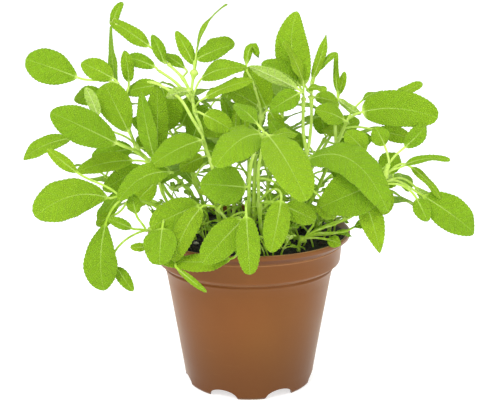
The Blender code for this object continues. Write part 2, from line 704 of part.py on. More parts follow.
class Thicket:
    """What is already placed, so that nothing new crosses another shoot, the pot or the soil."""

    def __init__(self):
        self.placed = []

    @staticmethod
    def box(points):
        low = Vector([min(p[k] for p in points) for k in range(3)])
        high = Vector([max(p[k] for p in points) for k in range(3)])
        return low, high

    def add(self, owner, points, faces):
        self.placed.append((owner, self.box(points), BVHTree.FromPolygons(points, faces)))

    def crossed(self, points, faces):
        """Names of the owners that these faces would cross."""
        low, high = self.box(points)
        tree = BVHTree.FromPolygons(points, faces)
        names = set()
        for owner, (other_low, other_high), other in self.placed:
            if owner in names:
                continue
            apart = any(low[k] > other_high[k] or other_low[k] > high[k] for k in range(3))
            if not apart and tree.overlap(other):
                names.add(owner)
        return names


def soup(mesh):
    """Points in millimetres and faces of a mesh."""
    return ([vertex.co / MM for vertex in mesh.vertices],
            [tuple(face.vertices) for face in mesh.polygons])


class Sprig:
    """One leafy shoot: stems and leaves that end up as one solid."""

    def __init__(self, name, root, rounding):
        self.name = name
        self.rounding = rounding
        self.root = Vector((root[0], root[1], SOIL_TOP - HOLE_DEPTH + FIT))
        self.stems = []
        self.leaves = []

    def spines(self):
        return [stem.route for stem in self.stems] + [one.spine for one in self.leaves]

    def nearest(self, across, up):
        """The spine point whose layout place is nearest to (across, up)."""
        best = None
        for spine in self.spines():
            for a, b in zip(spine, spine[1:]):
                for j in range(5):
                    place = a.lerp(b, j / 4)
                    seen = EYE + (place - EYE) * (-EYE.y / (place.y - EYE.y))
                    miss = math.hypot(seen.x - across, seen.z - up)
                    if best is None or miss < best[0]:
                        best = (miss, place)
        return best[1]

    def new_stem(self, waypoints):
        """A stem; the first stands in the soil and the others start on an earlier one."""
        if self.stems:
            points = waypoints
            radius = BRANCH_RADIUS
        else:
            above = Vector((self.root.x, self.root.y, SOIL_TOP + 2.6))
            points = [self.root, above] + waypoints
            radius = STEM_RADIUS
        return Stem(points, radius, self.rounding)


def random_wave(rng):
    """Fold, ripple height and ripple phase of one blade."""
    return (rng.uniform(-0.10, 0.16), rng.uniform(0.3, 0.9), rng.uniform(0.0, math.tau))


def place_leaf(sprig, thicket, options, wave, spacing):
    """Take the first option that crosses nothing, else the first that crosses only its own."""
    own_blades = sprig.name + " blades"
    chosen = None
    for option in options:
        candidate = Blade(*option, wave, spacing)
        names = thicket.crossed(*candidate.solid(grow=CLEARANCE)) - {sprig.name}
        if not names:
            chosen = candidate
            break
        if names == {own_blades} and chosen is None:
            chosen = candidate
    if chosen:
        sprig.leaves.append(chosen)
        points, faces = chosen.solid()
        thicket.add(sprig.name, points, [face for face in faces if min(face) < 8])
        thicket.add(own_blades, points, [face for face in faces if min(face) >= 8])
    return chosen is not None


def lay_out_leaf(sprig, thicket, row, wave):
    """Place a leaf of the layout, moving it along its line of sight until it is clear."""
    start = sprig.nearest(*row.start)
    options = []
    for tilt in TILT_TRIALS:
        for shift in DEPTH_TRIALS:
            base = world(row.base, shift)
            tip = world(row.tip, shift + tilt)
            via = world(row.via, shift + tilt / 2) if row.via else None
            options.append((start, base, tip, via, row.form))
    if not place_leaf(sprig, thicket, options, wave, ROW_SPACING[0]):
        raise ValueError(f"{sprig.name} has no room for its leaf at {row.tip}")


def plant_stem(sprig, thicket, options):
    """Grow a stem of a shoot along the first route that crosses no other shoot."""
    for waypoints in options:
        stem = sprig.new_stem(waypoints)
        names = thicket.crossed(*soup(stem.mesh("stem", grow=CLEARANCE)))
        if not names - {sprig.name, "soil"}:
            break
    else:
        raise ValueError(f"{sprig.name} has no clear route for a stem")
    sprig.stems.append(stem)
    thicket.add(sprig.name, *soup(stem.mesh("stem")))


def lay_out_sprigs(thicket, rng):
    """The shoots of the layout: all their stems first, then their leaves."""
    sprigs = []
    for name, plan in SPRIGS.items():
        sprig = Sprig(name, plan["root"], rounding=1)
        for number, stem in enumerate(plan["stems"]):
            waypoints = [world(point) for point in stem]
            if number:
                waypoints = [sprig.nearest(stem[0][0], stem[0][1])] + waypoints[1:]
            plant_stem(sprig, thicket, [waypoints])
        sprigs.append(sprig)
    for sprig in sprigs:
        for row in SPRIGS[sprig.name]["leaves"]:
            lay_out_leaf(sprig, thicket, row, random_wave(rng))
    return sprigs


def outward(angle):
    """The level direction at an angle round the pot, 0 at the far side."""
    return Vector((math.sin(angle), math.cos(angle), 0.0))


def grow_leaf(sprig, thicket, start, heading, length, lean, rng):
    """Grow a leaf from a stem, turning it until it is clear; it is left out if it never is.

    Leaves of an upright shoot (lean 0) stand up, those of a leaning one (lean 1) spread.
    """
    wave = random_wave(rng)
    rise = rng.uniform(0.9, 1.5) - 0.7 * lean
    pitch = rng.uniform(0.1, 1.1) - 0.8 * lean
    options = []
    for lift in LIFT_TRIALS:
        for turn in TURN_TRIALS:
            away = outward(heading + math.radians(turn))
            base = start + (away + Vector((0, 0, rise + lift))).normalized() * length * 0.42
            tip = base + (away + Vector((0, 0, pitch + lift))).normalized() * length
            form = Form(length * BLADE_SHAPE, Vector((0, 0, 1)) + away * 0.2, length * 0.07,
                        0.0, 0.62, 0.46, None)
            options.append((start, base, tip, None, form))
    place_leaf(sprig, thicket, options, wave, ROW_SPACING[1])


def grow_sprig(thicket, ring, number, rng):
    """A shoot grown by rule: a leaning stem with crossed pairs of leaves and a tuft."""
    share = (number + 0.5) / ring.count - 0.5
    angle = math.radians(ring.sweep) * share + rng.uniform(-0.1, 0.1)
    sprig = Sprig(f"sprig_{ring.kind}_{number + 1}", outward(angle) * ring.root, rounding=0)
    reach = ring.reach * rng.uniform(0.88, 1.0)
    height = ring.top * rng.uniform(0.94, 1.04)
    routes = []
    for turn in TURN_TRIALS:
        away = outward(angle + math.radians(turn))
        for spread in SPREAD_TRIALS:
            middle = away * (ring.root * 0.5 + reach * 0.36 * spread)
            middle.z = BEND_HEIGHT + height * 0.5
            routes.append([middle, away * reach * spread + Vector((0, 0, height))])
    plant_stem(sprig, thicket, routes)
    route = sprig.stems[0].route
    for pair, share in enumerate(PAIR_SHARES):
        start = route[min(len(route) - 1, round(share * (len(route) - 1)))]
        length = BLADE_LENGTH[0] + (BLADE_LENGTH[1] - BLADE_LENGTH[0]) * share
        length *= rng.uniform(0.85, 1.1)
        crossed = angle + (math.pi / 2 if pair % 2 else 0.35)
        for heading in (crossed, crossed + math.pi):
            if ring.lean == 0 or math.cos(heading - angle) > -0.6:
                grow_leaf(sprig, thicket, start, heading, length, ring.lean, rng)
    return sprig


# ---------------------------------------------------------------- assembly

def fuse(sprig, home, finish):
    """Join a shoot's stems and leaves into one solid."""
    meshes = [stem.mesh("stem") for stem in sprig.stems]
    meshes += [one.mesh("leaf") for one in sprig.leaves]
    solid = add_object(sprig.name, meshes[0], home, finish)
    rest = collection("growth")
    for number, mesh in enumerate(meshes[1:]):
        add_object(f"growth_{number}", mesh, rest, finish)
    boolean(solid, rest, "UNION", solver="MANIFOLD")
    drop_scraps(solid.data)
    return solid


def bore_soil(soil, sprigs):
    """A plain hole in the soil for every stem."""
    holes = collection("stem holes")
    for number, sprig in enumerate(sprigs):
        centre = Vector((sprig.root.x, sprig.root.y, SOIL_TOP))
        cutter_cylinder(f"hole_{number}", (STEM_RADIUS + FIT) / math.cos(math.pi / 6) + 0.05,
                        2 * HOLE_DEPTH, Matrix.Translation(centre * MM), holes, 6)
    boolean(soil, holes, "DIFFERENCE")
    shade(soil)


def main():
    for old in list(bpy.data.objects):
        bpy.data.objects.remove(old)
    home = collection("potted sage")
    pot = make_pot(home, material("brown_plastic", (0.33, 0.14, 0.055), 0.38))
    soil = make_soil(home, material("potting_soil", (0.018, 0.013, 0.010), 0.95))
    thicket = Thicket()
    thicket.add("pot", *soup(pot.data))
    thicket.add("soil", *soup(soil.data))
    rng = random.Random(SEED)
    sprigs = lay_out_sprigs(thicket, rng)
    for ring in RINGS:
        for number in range(ring.count):
            sprigs.append(grow_sprig(thicket, ring, number, rng))
    bore_soil(soil, sprigs)
    sage = material("sage_leaf", (0.30, 0.50, 0.05), 0.6)
    for sprig in sprigs:
        fuse(sprig, home, sage)


main()
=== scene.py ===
"""Potted sage, dressed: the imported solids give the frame, and every one of them gets finer form.

The shoots are grown again by the rule that made their solids, with the same order of random
draws, so each finer shoot fills its own solid. Lengths are in millimetres here and are scaled to
metres when the meshes are made. The viewer's side is -Y, and the pot stands on z = 0.
"""

import json
import math
import random
from collections import namedtuple

import bmesh
import bpy
import numpy as np
from mathutils import Matrix, Vector, noise
from mathutils.bvhtree import BVHTree

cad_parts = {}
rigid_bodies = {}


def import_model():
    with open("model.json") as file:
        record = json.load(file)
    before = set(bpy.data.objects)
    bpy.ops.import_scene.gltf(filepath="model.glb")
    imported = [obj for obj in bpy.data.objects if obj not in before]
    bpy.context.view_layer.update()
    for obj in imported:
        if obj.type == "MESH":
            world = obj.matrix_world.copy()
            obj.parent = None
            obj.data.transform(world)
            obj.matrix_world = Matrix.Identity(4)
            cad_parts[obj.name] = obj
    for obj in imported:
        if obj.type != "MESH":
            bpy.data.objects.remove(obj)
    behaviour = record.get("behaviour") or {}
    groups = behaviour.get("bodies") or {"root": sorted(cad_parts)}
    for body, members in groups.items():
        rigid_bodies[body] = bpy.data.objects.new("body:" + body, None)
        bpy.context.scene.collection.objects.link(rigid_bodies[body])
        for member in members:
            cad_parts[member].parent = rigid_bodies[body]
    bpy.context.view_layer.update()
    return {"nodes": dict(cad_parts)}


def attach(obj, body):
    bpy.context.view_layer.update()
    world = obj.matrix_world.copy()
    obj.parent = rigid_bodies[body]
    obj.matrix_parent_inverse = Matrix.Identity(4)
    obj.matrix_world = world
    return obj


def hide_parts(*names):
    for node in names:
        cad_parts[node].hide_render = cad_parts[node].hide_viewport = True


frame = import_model()

MM = 0.001
MERGE = 0.00005            # metres; welds seams without closing any real gap

# Pot: a 12 cm nursery pot
POT_HEIGHT = 93.0
LIP_RADIUS = 60.0
BAND_RADIUS = 54.6         # rim band under the lip
LEDGE_RADIUS = 51.8        # rounded step where the wall starts
WALL_TOP_RADIUS = 49.6
FOOT_RADIUS = 37.8
SKIRT = 1.6                # thickness of the foot's edge
WALL = 1.3
FLOOR_Z = 8.6
POT_STEPS = 192
POT_CREASE = 40.0          # degrees; sharper edges of the pot stay crisp
NOTCHES = 7
NOTCH_WIDTH = 18.0
NOTCH_HEIGHT = 5.4
NOTCH_TURN = -62.0         # degrees, of the first notch round the pot
NOTCH_SIDES = 48
DRAIN_HOLES = 4
DRAIN_RADIUS = 3.4
DRAIN_RING = 24.0
DRAIN_SIDES = 32

# Soil
SOIL_TOP = 88.6
SOIL_LUMP = 1.6
FIT = 0.3                  # clearance between touching solids
HOLE_DEPTH = 13.0
SOIL_EDGE = 55.9           # the soil is banked up against the lip
SOIL_BANK = 90.4
SOIL_RINGS = 64
SOIL_SPOKES = 200
BANK_START = 0.84          # share of the soil's radius where the bank begins
CRUMBS = 620
CRUMB_SPREAD = 0.97        # share of the soil's radius that bears crumbs
CRUMB_SIZE = (0.5, 2.1)

# Seedlings on the soil
SEEDLINGS = 150            # places tried; those without room stay bare
SEEDLING_SPREAD = 0.92     # share of the soil's radius that bears seedlings
SEEDLING_DEPTH = 2.0
SEEDLING_GAP = 3.5         # kept to the foot of every shoot
SEEDLING_CLEARANCE = 0.25
SEEDLING_HEIGHT = (10.0, 28.0)
SEEDLING_STEM = 0.55
SEEDLING_SIDES = 6
SEEDLING_LEAF = (5.0, 11.0)
SEEDLING_LEAVES = ((1.0, 0.0), (1.0, math.pi), (0.62, 1.6), (0.62, 1.6 + math.pi))  # height, turn

# Shoots, as in their solids
STEM_RADIUS = 1.25
BRANCH_RADIUS = 1.05
STEM_TIP_RADIUS = 0.75
STEM_SPACING = 20.0        # between the bends of a stem
PETIOLE_HALF = 0.8
RIB_THICKNESS = 1.3        # blade thickness along its midrib
CLEARANCE = 0.45           # kept between neighbouring shoots
BLUNT = 0.62
BROAD = 0.46
RIPPLES = 9.0              # of a blade's two halves, in radians along it
FOLD_RANGE = (-0.10, 0.16)
RIPPLE_RANGE = (0.3, 0.9)
PETIOLE_SHARE = 0.42       # of a grown leaf's petiole, over its blade's length
STEM_COLLAR = 2.6          # straight rise of a stem out of the soil
SEED = 41

# Finer form of the shoots
LOOKS_SEED = 7
STEM_STEP = 1.6            # between the rings of a fine stem
STEM_SIDES = 12
KNOB = 0.4                 # swelling of a stem where a leaf leaves it, as a share of its radius
ROW_STEP = 0.95            # between the rows of a fine blade
STALK_HALF = 0.64          # half thickness of a petiole
ROOTING = 0.6              # how far a petiole starts inside what carries it
SNAP_REACH = 3.0           # from a leaf's start in the solid to the fine route it moves to
ROUTE_STEPS = 12           # samples of a petiole or midrib that other leaves may start on
SLIVER = 2e-6              # metres; shorter edges are closed up after a union
HALF_BLADE = np.array([1.0, 0.97, 0.9, 0.78, 0.64, 0.5, 0.36, 0.23, 0.12, 0.05, 0.0])
NARROW = 8.0               # blades under this width take fewer of those places across
NARROW_PICK = [0, 1, 3, 5, 7, 9, 10]
TOOTH = 0.18               # depth of the scalloped margin
VEIN_PITCH = 4.3           # between side veins
VEIN_SLANT = 0.8           # how far a side vein runs forward for each millimetre outward
VEIN_STAGGER = 0.25        # of the two halves' veins, as a share of their pitch
QUILT = 0.2                # rise of the blade between its side veins
BLADE_THICKNESS = 0.6
RIB_DEPTH = 0.5            # how far the midrib stands out below the blade
RIB_WIDTH = 0.65
GROOVE_DEPTH = 0.3         # of the line above the midrib
GROOVE_WIDTH = 0.45
FLUTTER = 0.05             # of the margin, as a share of the blade's half width
KNOB_REACH = 2.0
SQUARENESS = 0.07          # of a stem's section

EYE = Vector((0.6, -586.0, 249.0))        # where the photo was taken from
FRONT = (0.0, -1.0, 0.45)
LEVEL = (0.0, -0.5, 1.0)
UNDER = (0.0, 1.0, 0.35)

Leaf = namedtuple("Leaf", "start base tip via form")
Form = namedtuple("Form", "width face arch bow blunt broad fold")


def leaf(start, base, tip, width, face=FRONT, arch=1.5, bow=0.0, via=None,
         blunt=BLUNT, broad=BROAD, fold=None):
    """A leaf: where its petiole leaves the shoot, the ends of its blade, and how it is bent.

    arch raises the middle of the blade towards its upper face, or via says where it passes; bow
    lifts the petiole's middle. A small blunt gives round ends, broad says where the blade is
    widest, and fold lifts (+) or drops (-) its two halves.
    """
    return Leaf(start, base, tip, via, Form(width, Vector(face), arch, bow, blunt, broad, fold))


SPRIGS = {
    "sprig_left_high": {
        "root": (-24, 4),
        "stems": [[(-46, 112, 0), (-56, 130, 0), (-66, 143, 0), (-72, 162, 0), (-75, 179, 0)]],
        "leaves": [
            leaf((-75, 179), (-98.6, 182.6, -4), (-127.8, 193, -8), 20.5, blunt=0.5, broad=0.58),
            leaf((-75, 179), (-78, 182, 0), (-96, 191, 4), 13),
            leaf((-75, 179), (-75.4, 176, 3), (-78.2, 212, 8), 9, (-1, -0.7, 0.1), blunt=0.8),
            leaf((-73, 168), (-69, 180, 6), (-71, 198, 4), 8, (0.4, -1, 0.1)),
            leaf((-66, 143), (-70, 151, -10), (-83, 179, -6), 18.5, blunt=0.45, broad=0.6),
            leaf((-66, 143), (-87.4, 160.5, -20), (-94, 177, -18), 7.5, UNDER),
            leaf((-73, 166), (-84, 173, 12), (-101, 170, 16), 12, (0, -0.9, 0.5)),
            leaf((-62, 138), (-77, 144, -22), (-115, 162.5, -30), 20.5, arch=2, blunt=0.55,
                 broad=0.54),
            leaf((-60, 134), (-104, 147, -8), (-132, 134.5, -12), 12, (0, -0.8, 0.8), arch=4,
                 bow=3),
        ],
    },
    "sprig_left_mid": {
        "root": (-32, -12),
        "stems": [[(-46, 105, -20), (-52, 118, -22), (-54.5, 131, -22)]],
        "leaves": [
            leaf((-54.5, 131), (-55, 134, -20), (-62, 174, -12), 12, (-0.5, -1, 0.1)),
            leaf((-54.5, 131), (-54, 135, -16), (-53, 179, -8), 14, (0.4, -1, 0.1)),
            leaf((-54, 128), (-68, 134, -6), (-101, 127, -8), 14, (0, -0.8, 0.8), arch=3),
            leaf((-54, 128), (-68, 141, 8), (-92, 136, 10), 14),
            leaf((-52, 124), (-46, 127, -34), (-77, 109.5, -48), 14, (0, -0.8, 0.7),
                 via=(-63, 123.5, -42)),
            leaf((-52, 124), (-62, 130, 2), (-86, 116, 4), 14),
            leaf((-50, 114), (-55, 121, -8), (-69, 106, -10), 12),
        ],
    },
    "sprig_left_arch": {
        "root": (-38, -17),
        "stems": [[(-52, 104, -28), (-64, 110, -32), (-76, 112.5, -34)]],
        "leaves": [
            leaf((-76, 112.5), (-83.5, 111.5, -38), (-127, 100, -54), 24, (0, -0.9, 0.6),
                 via=(-104.5, 112.5, -47), blunt=0.5, broad=0.6),
            leaf((-76, 112.5), (-101, 127, -32), (-118, 141, -32), 7, (-0.6, -0.6, 0.6)),
            leaf((-74, 112), (-85, 96, -36), (-87.5, 54, -42), 19.5, (-0.1, -1, 0.1), bow=2,
                 via=(-88.8, 74.5, -40), blunt=0.6, broad=0.6),
            leaf((-70, 112), (-80, 101, -24), (-91, 95, -24), 8),
        ],
    },
    "sprig_left_low": {
        "root": (-36, -27),
        "stems": [[(-48, 95, -36), (-61, 91.5, -42)]],
        "leaves": [
            leaf((-61, 91.5), (-80, 69, -34), (-70, 53.5, -38), 7.5, (0.3, -1, 0.2), bow=4),
            leaf((-61, 91.5), (-70, 93, -46), (-84, 99, -48), 6),
            leaf((-61, 91.5), (-67, 102, -44), (-69, 114, -42), 8),
            leaf((-59, 92), (-61.5, 81, -48), (-71, 81, -50), 5),
            leaf((-50, 95), (-51.5, 93, -60), (-53.5, 70, -68), 18, (-0.2, -1, 0.3), blunt=0.42),
            leaf((-48, 95), (-30, 107, -44), (-59, 93.5, -56), 18, arch=2, blunt=0.5),
        ],
    },
    "sprig_centre_left": {
        "root": (-16, -8),
        "stems": [
            [(-21, 116, -22), (-21.5, 130, -22), (-26, 144, -17), (-28, 154, -12),
             (-31, 162, -8), (-33, 174, -5), (-31, 188, -2)],
            [(-27, 148, -15), (-33, 159, -14), (-40, 170.5, -12), (-51, 178, -8),
             (-58, 180, -6)],
            [(-32, 168, -7), (-42, 179.5, 4), (-52.5, 187, 9)],
            [(-32, 171, -6), (-38, 182, 4), (-47, 191, 10)],
        ],
        "leaves": [
            leaf((-47, 191), (-48.5, 191, 8), (-55, 207, 10), 7.5, (0.3, -1, 0)),
            leaf((-52, 187), (-54, 188.5, 12), (-71, 193.5, 18), 9, arch=4),
            leaf((-47, 191), (-57, 200.4, 12), (-79, 215, 14), 9.5, (0, -1, 0.6), blunt=0.5),
            leaf((-76, 213), (-76.5, 212, 14), (-71, 225, 14), 5.5, (0, -1, 0), blunt=0.5,
                 via=(-75.3, 219, 14)),
            leaf((-38, 182), (-37, 188, 16), (-50, 196, 20), 7, (0, -0.8, 0.7)),
            leaf((-58, 180), (-52, 178, 0), (-71, 174, 6), 11, (0, -1, 0.6), blunt=0.5),
            leaf((-52, 178), (-50, 177, 6), (-46, 152, 8), 20, (0.3, -1, 0.2), blunt=0.5),
            leaf((-33, 174), (-35, 175, -12), (-48, 171, -14), 7, UNDER),
            leaf((-31, 186), (-31.5, 190, 0), (-41.5, 209, 2), 8, (0.2, -1, 0.1)),
            leaf((-31, 186), (-30, 197, 0), (-12, 224, 6), 5, (-0.8, -0.3, 0.6), arch=4),
            leaf((-31, 186), (-30, 193, -3), (-10, 201, 0), 11, arch=2),
            leaf((-31, 186), (-25, 198, 8), (-8, 202, 14), 12, (0, -0.8, 0.6)),
            leaf((-32, 172), (-27, 182, -8), (-1, 188, -16), 12, (0, -0.9, 0.6), arch=5),
            leaf((-31, 166), (-25, 171, -16), (3, 181, -22), 9, (0, -0.7, 0.8), arch=2),
            leaf((-30, 163), (-26, 161, -20), (-10, 152, -22), 13),
            leaf((-26, 145), (-28, 146, -24), (-57, 131, -36), 18, (0, -0.8, 0.7), arch=3),
            leaf((-22, 132), (-27, 136, -8), (-41, 129, -10), 12),
        ],
    },
    "sprig_front": {
        "root": (-3, -23),
        "stems": [
            [(-1, 96, -34), (0, 108, -42), (0.5, 128, -54), (4, 141, -60), (9, 150, -62)],
        ],
        "leaves": [
            leaf((9, 150), (7, 149.5, -68), (-20, 130, -86), 21, (-0.3, -0.75, 0.6),
                 via=(-6, 145.5, -76), blunt=0.5, fold=-0.2),
            leaf((9, 150), (11, 149, -72), (34, 109.5, -108), 21.5, (0.2, -0.95, 0.4), arch=4,
                 blunt=0.5, broad=0.52),
            leaf((0.5, 126), (-2, 118, -62), (-29, 120, -74), 21, (0, -1, 0.3)),
            leaf((-1, 98), (-1.5, 100, -72), (0.6, 64, -84), 12.5, (0, -1, 0.05), bow=5,
                 blunt=0.42, broad=0.5),
            leaf((9, 150), (4.5, 156, -56), (-9, 167, -50), 11, LEVEL),
        ],
    },
    "sprig_front_right": {
        "root": (9, -28),
        "stems": [[(7, 94, -38), (6, 108, -46), (5.5, 128, -46), (8, 142, -48)]],
        "leaves": [
            leaf((6, 110), (19, 110, -66), (13, 78, -78), 14, (0.1, -1, 0.1), bow=7, blunt=0.5),
            leaf((6, 108), (21, 106.5, -60), (39.5, 97.5, -60), 12, blunt=0.5),
            leaf((6, 104), (42, 112, -48), (51, 99, -46), 13, bow=3),
            leaf((5.5, 124), (15, 121, -50), (24, 114, -52), 8),
            leaf((8, 142), (14, 148, -44), (28, 150, -36), 10, LEVEL),
            leaf((8, 142), (3, 148, -40), (-12, 153, -34), 9, LEVEL),
        ],
    },
    "sprig_front_left": {
        "root": (-13, -26),
        "stems": [[(-13, 97, -42), (-20, 106, -50)]],
        "leaves": [
            leaf((-13, 97), (-4, 98, -66), (-28, 71.5, -76), 17.5, (-0.2, -1, 0.35), bow=2,
                 blunt=0.5),
            leaf((-20, 106), (-28.5, 105.5, -58), (-45, 72, -68), 13, (-0.2, -1, 0.4),
                 via=(-38.3, 91, -65), blunt=0.5),
            leaf((-13, 97), (-11.5, 74, -63), (-56, 74.5, -65), 12, (0, -0.6, 0.9), blunt=0.5,
                 via=(-33, 72, -65)),
            leaf((-43, 73), (-42.5, 67.5, -69), (-25.5, 53, -74), 3.6, (0, -1, 0.3)),
            leaf((-18, 104), (-16, 112, -36), (-30, 116, -34), 9, LEVEL),
        ],
    },
    "sprig_right_high": {
        "root": (16, -5),
        "stems": [
            [(25, 108, -10), (33, 133, -12), (36, 154, -10), (36, 173, -8)],
            [(34, 136, -12), (31.5, 152, -14), (31.5, 172, -13)],
        ],
        "leaves": [
            leaf((36, 172), (32, 178, -9), (27.2, 220, -2), 19.5, (-0.1, -1, 0.1), broad=0.42,
                 via=(24.5, 199, -7)),
            leaf((31.5, 171), (31, 179.5, -16), (19.4, 203, -14), 10, (0.85, -0.4, -0.5),
                 blunt=0.5),
            leaf((36, 173), (36.5, 182, -4), (44, 207, 0), 7, (0.5, -1, 0), blunt=0.9, broad=0.4),
            leaf((31.5, 172), (28, 179, -18), (7, 190.5, -22), 14, (0, -0.9, 0.6), arch=3),
            leaf((31.5, 171), (28, 176, -24), (0, 189, -30), 8, UNDER),
            leaf((36, 171), (34, 176, -14), (45, 175, -18), 7, LEVEL),
            leaf((31.5, 169), (29, 173.5, -24), (12, 163, -30), 12),
            leaf((36, 168), (38, 171, -4), (52, 167, -2), 11, (0, -0.8, 0.8)),
            leaf((36, 172), (40, 187, 0), (50, 197, 2), 4, (-0.6, -0.8, 0)),
            leaf((33, 128), (34, 134, -28), (82, 103, -62), 22, (0.15, -0.8, 0.65),
                 via=(60, 134, -53), blunt=0.5),
            leaf((33, 133), (22, 140, -6), (12, 158, -4), 11, (0.3, -1, 0.3)),
        ],
    },
    "sprig_right": {
        "root": (27, 4),
        "stems": [
            [(38, 112, 8), (49, 138, 6), (57, 158, -2)],
            [(50, 141, 6), (50, 156, 8), (51, 169, 8)],
        ],
        "leaves": [
            leaf((57, 158), (65.5, 162.5, -8), (109.5, 159, -18), 21, (0, -1, 0.3), blunt=0.42,
                 broad=0.5, via=(86, 164.5, -13)),
            leaf((51, 167), (52, 170, 2), (65, 161, -2), 5, UNDER, arch=-2),
            leaf((57, 158), (84, 170, 6), (100, 179, 8), 8, (0, -0.8, 0.9)),
            leaf((57, 158), (65, 169, 4), (78, 174, 6), 5, LEVEL, arch=2),
            leaf((57, 158), (55, 158, -16), (38, 164, -20), 14, (0, -0.8, 0.7)),
            leaf((51, 169), (51, 174, 8), (50, 197, 8), 3.8, (-0.5, -1, 0)),
            leaf((51, 169), (52, 173, 12), (55, 186, 14), 4.6),
            leaf((55, 152), (74, 152, 4), (97, 146, 8), 10),
            leaf((53, 146), (58, 148, 14), (42, 152, 18), 12, LEVEL),
        ],
    },
    "sprig_right_low": {
        "root": (22, -18),
        "stems": [
            [(33, 87, -22), (45, 94, -26), (60, 100, -30), (71, 110, -36), (78, 120, -40)],
            [(78, 120, -40), (80, 126, -36), (82, 133, -34)],
        ],
        "leaves": [
            leaf((78, 120), (78, 121, -41), (42, 105.5, -48), 26, (-0.1, -1, 0.5), arch=2),
            leaf((75, 115), (67, 112, -54), (78.3, 77.5, -60), 13.5, (0.1, -1, 0.3), blunt=0.8,
                 broad=0.4, via=(73.5, 96, -58)),
            leaf((78, 120), (79, 118, -48), (80, 101, -54), 11, (0.3, -1, 0.3)),
            leaf((78, 120), (103, 112.5, -24), (134, 90, -28), 20, (-0.3, -1, 0.6), arch=5, bow=4),
            leaf((78, 119), (99, 111, -34), (106, 97, -38), 10, (0, -1, 0.3), bow=2),
            leaf((78, 120), (98, 118, -28), (122, 98, -24), 8, UNDER, arch=-2),
            leaf((80, 126), (91, 131, -30), (118, 134, -34), 7, LEVEL, arch=3),
            leaf((80, 125), (95, 130, -24), (113, 111, -28), 6, (0.5, -0.8, 0.5), arch=2),
            leaf((78, 121), (68, 139, -34), (56, 151, -36), 14, bow=2),
            leaf((82, 133), (79, 143, -32), (73, 154, -30), 11, bow=1),
            leaf((82, 132), (91, 142, -24), (103, 155, -20), 10, (0.1, -1, 0.1)),
            leaf((80, 126), (77, 128, -22), (88, 137, -18), 13),
            leaf((78, 119), (80, 118, -30), (88, 122, -28), 5),
        ],
    },
    "sprig_centre": {
        "root": (3, 0),
        "stems": [[(3, 110, 0), (4, 140, 0), (7, 160, 0), (3, 178, 3)]],
        "leaves": [
            leaf((7, 160), (10, 165, 4), (0, 189, 10), 18, (-0.2, -1, 0.2)),
            leaf((7, 160), (5, 166, -4), (-14, 176, -10), 13, (0, -0.8, 0.6)),
            leaf((3, 178), (-1.5, 190, 4), (5.5, 193.5, 4), 6, (-0.6, -0.8, 0.6), blunt=0.5,
                 via=(1.5, 200, 4)),
            leaf((4, 146), (-3, 150, -8), (-1, 167, -10), 5),
            leaf((4, 144), (-8, 150, -6), (-7, 168, -6), 5),
            leaf((4, 142), (-9, 152, -2), (-16, 171, -2), 6),
            leaf((7, 158), (12, 163, 2), (20, 148, 0), 9),
            leaf((6, 152), (-6, 156, 6), (-31, 152, 10), 15),
            leaf((4, 136), (10, 140, 10), (30, 146, 14), 12),
        ],
    },
    "sprig_behind_left": {
        "root": (-12, 14),
        "stems": [[(-28, 118, 22), (-38, 140, 26), (-43, 152, 28)]],
        "leaves": [
            leaf((-43, 152), (-44, 154, 26), (-50, 170, 22), 15, (0.2, -1, 0.2)),
            leaf((-43, 152), (-39, 155, 28), (-30, 172, 30), 13, (-0.2, -1, 0.3)),
            leaf((-41, 148), (-47, 150, 24), (-68, 158, 24), 14),
            leaf((-38, 140), (-46, 140, 20), (-66, 147, 16), 14),
            leaf((-34, 132), (-26, 140, 18), (-12, 137, 14), 13),
            leaf((-36, 136), (-33, 146, 20), (-25, 167, 18), 14),
        ],
    },
    "sprig_behind_right": {
        "root": (17, 14),
        "stems": [[(27, 112, 22), (38, 136, 26), (45, 148, 28)]],
        "leaves": [
            leaf((45, 148), (44, 150, 26), (40, 166, 22), 12, (0.1, -1, 0.3)),
            leaf((45, 148), (48, 150, 30), (64, 158, 32), 13),
            leaf((43, 145), (52, 144, 24), (72, 147, 20), 13),
            leaf((38, 136), (31, 140, 20), (19, 152, 16), 12),
            leaf((36, 132), (48, 130, 18), (66, 124, 14), 14),
        ],
    },
    "sprig_rim_right": {
        "root": (28, -34),
        "stems": [[(31, 85, -35), (34, 88, -35)]],
        "leaves": [
            leaf((34, 88), (57, 100, -36), (68, 106, -38), 5, LEVEL),
            leaf((33, 87), (62, 93.5, -32), (74, 96, -32), 5.5, LEVEL),
            leaf((32, 86), (47, 86, -38), (55, 83, -40), 7),
            leaf((34, 88), (38, 98, -28), (31, 108, -26), 10),
            leaf((32, 86), (52, 90, -24), (61, 88, -20), 6, LEVEL),
        ],
    },
}

Ring = namedtuple("Ring", "kind count root reach top sweep lean")
RINGS = (                          # sweep is centred on the far side
    Ring("inner", 3, 10.0, 22.0, 160.0, 200.0, 0.0),
    Ring("middle", 4, 30.0, 60.0, 154.0, 156.0, 0.6),
    Ring("outer", 5, 40.0, 93.0, 122.0, 196.0, 1.0),
)
BLADE_LENGTH = (42.0, 25.0)        # of a shoot's lowest and topmost leaves
ROW_SPACING = (8.4, 11.0)          # between sections of a laid-out blade, and of a grown one
BLADE_SHAPE = 0.43                 # blade width over its length
PAIR_SHARES = (0.46, 0.66, 0.84, 1.0)     # where the leaf pairs sit along a stem
BEND_HEIGHT = 42.0                 # of a stem's bend, above half of the shoot's height

DEPTH_TRIALS = (0, 4, -4, 8, -8, 12, -12, 17, -17, 23, -23)
TILT_TRIALS = (0, -6, 6, 12, -12)
TURN_TRIALS = (0, 14, -14, 28, -28, 45, -45)
LIFT_TRIALS = (0.0, 0.5, 1.1, -0.3)
SPREAD_TRIALS = (1.0, 0.82, 1.12)

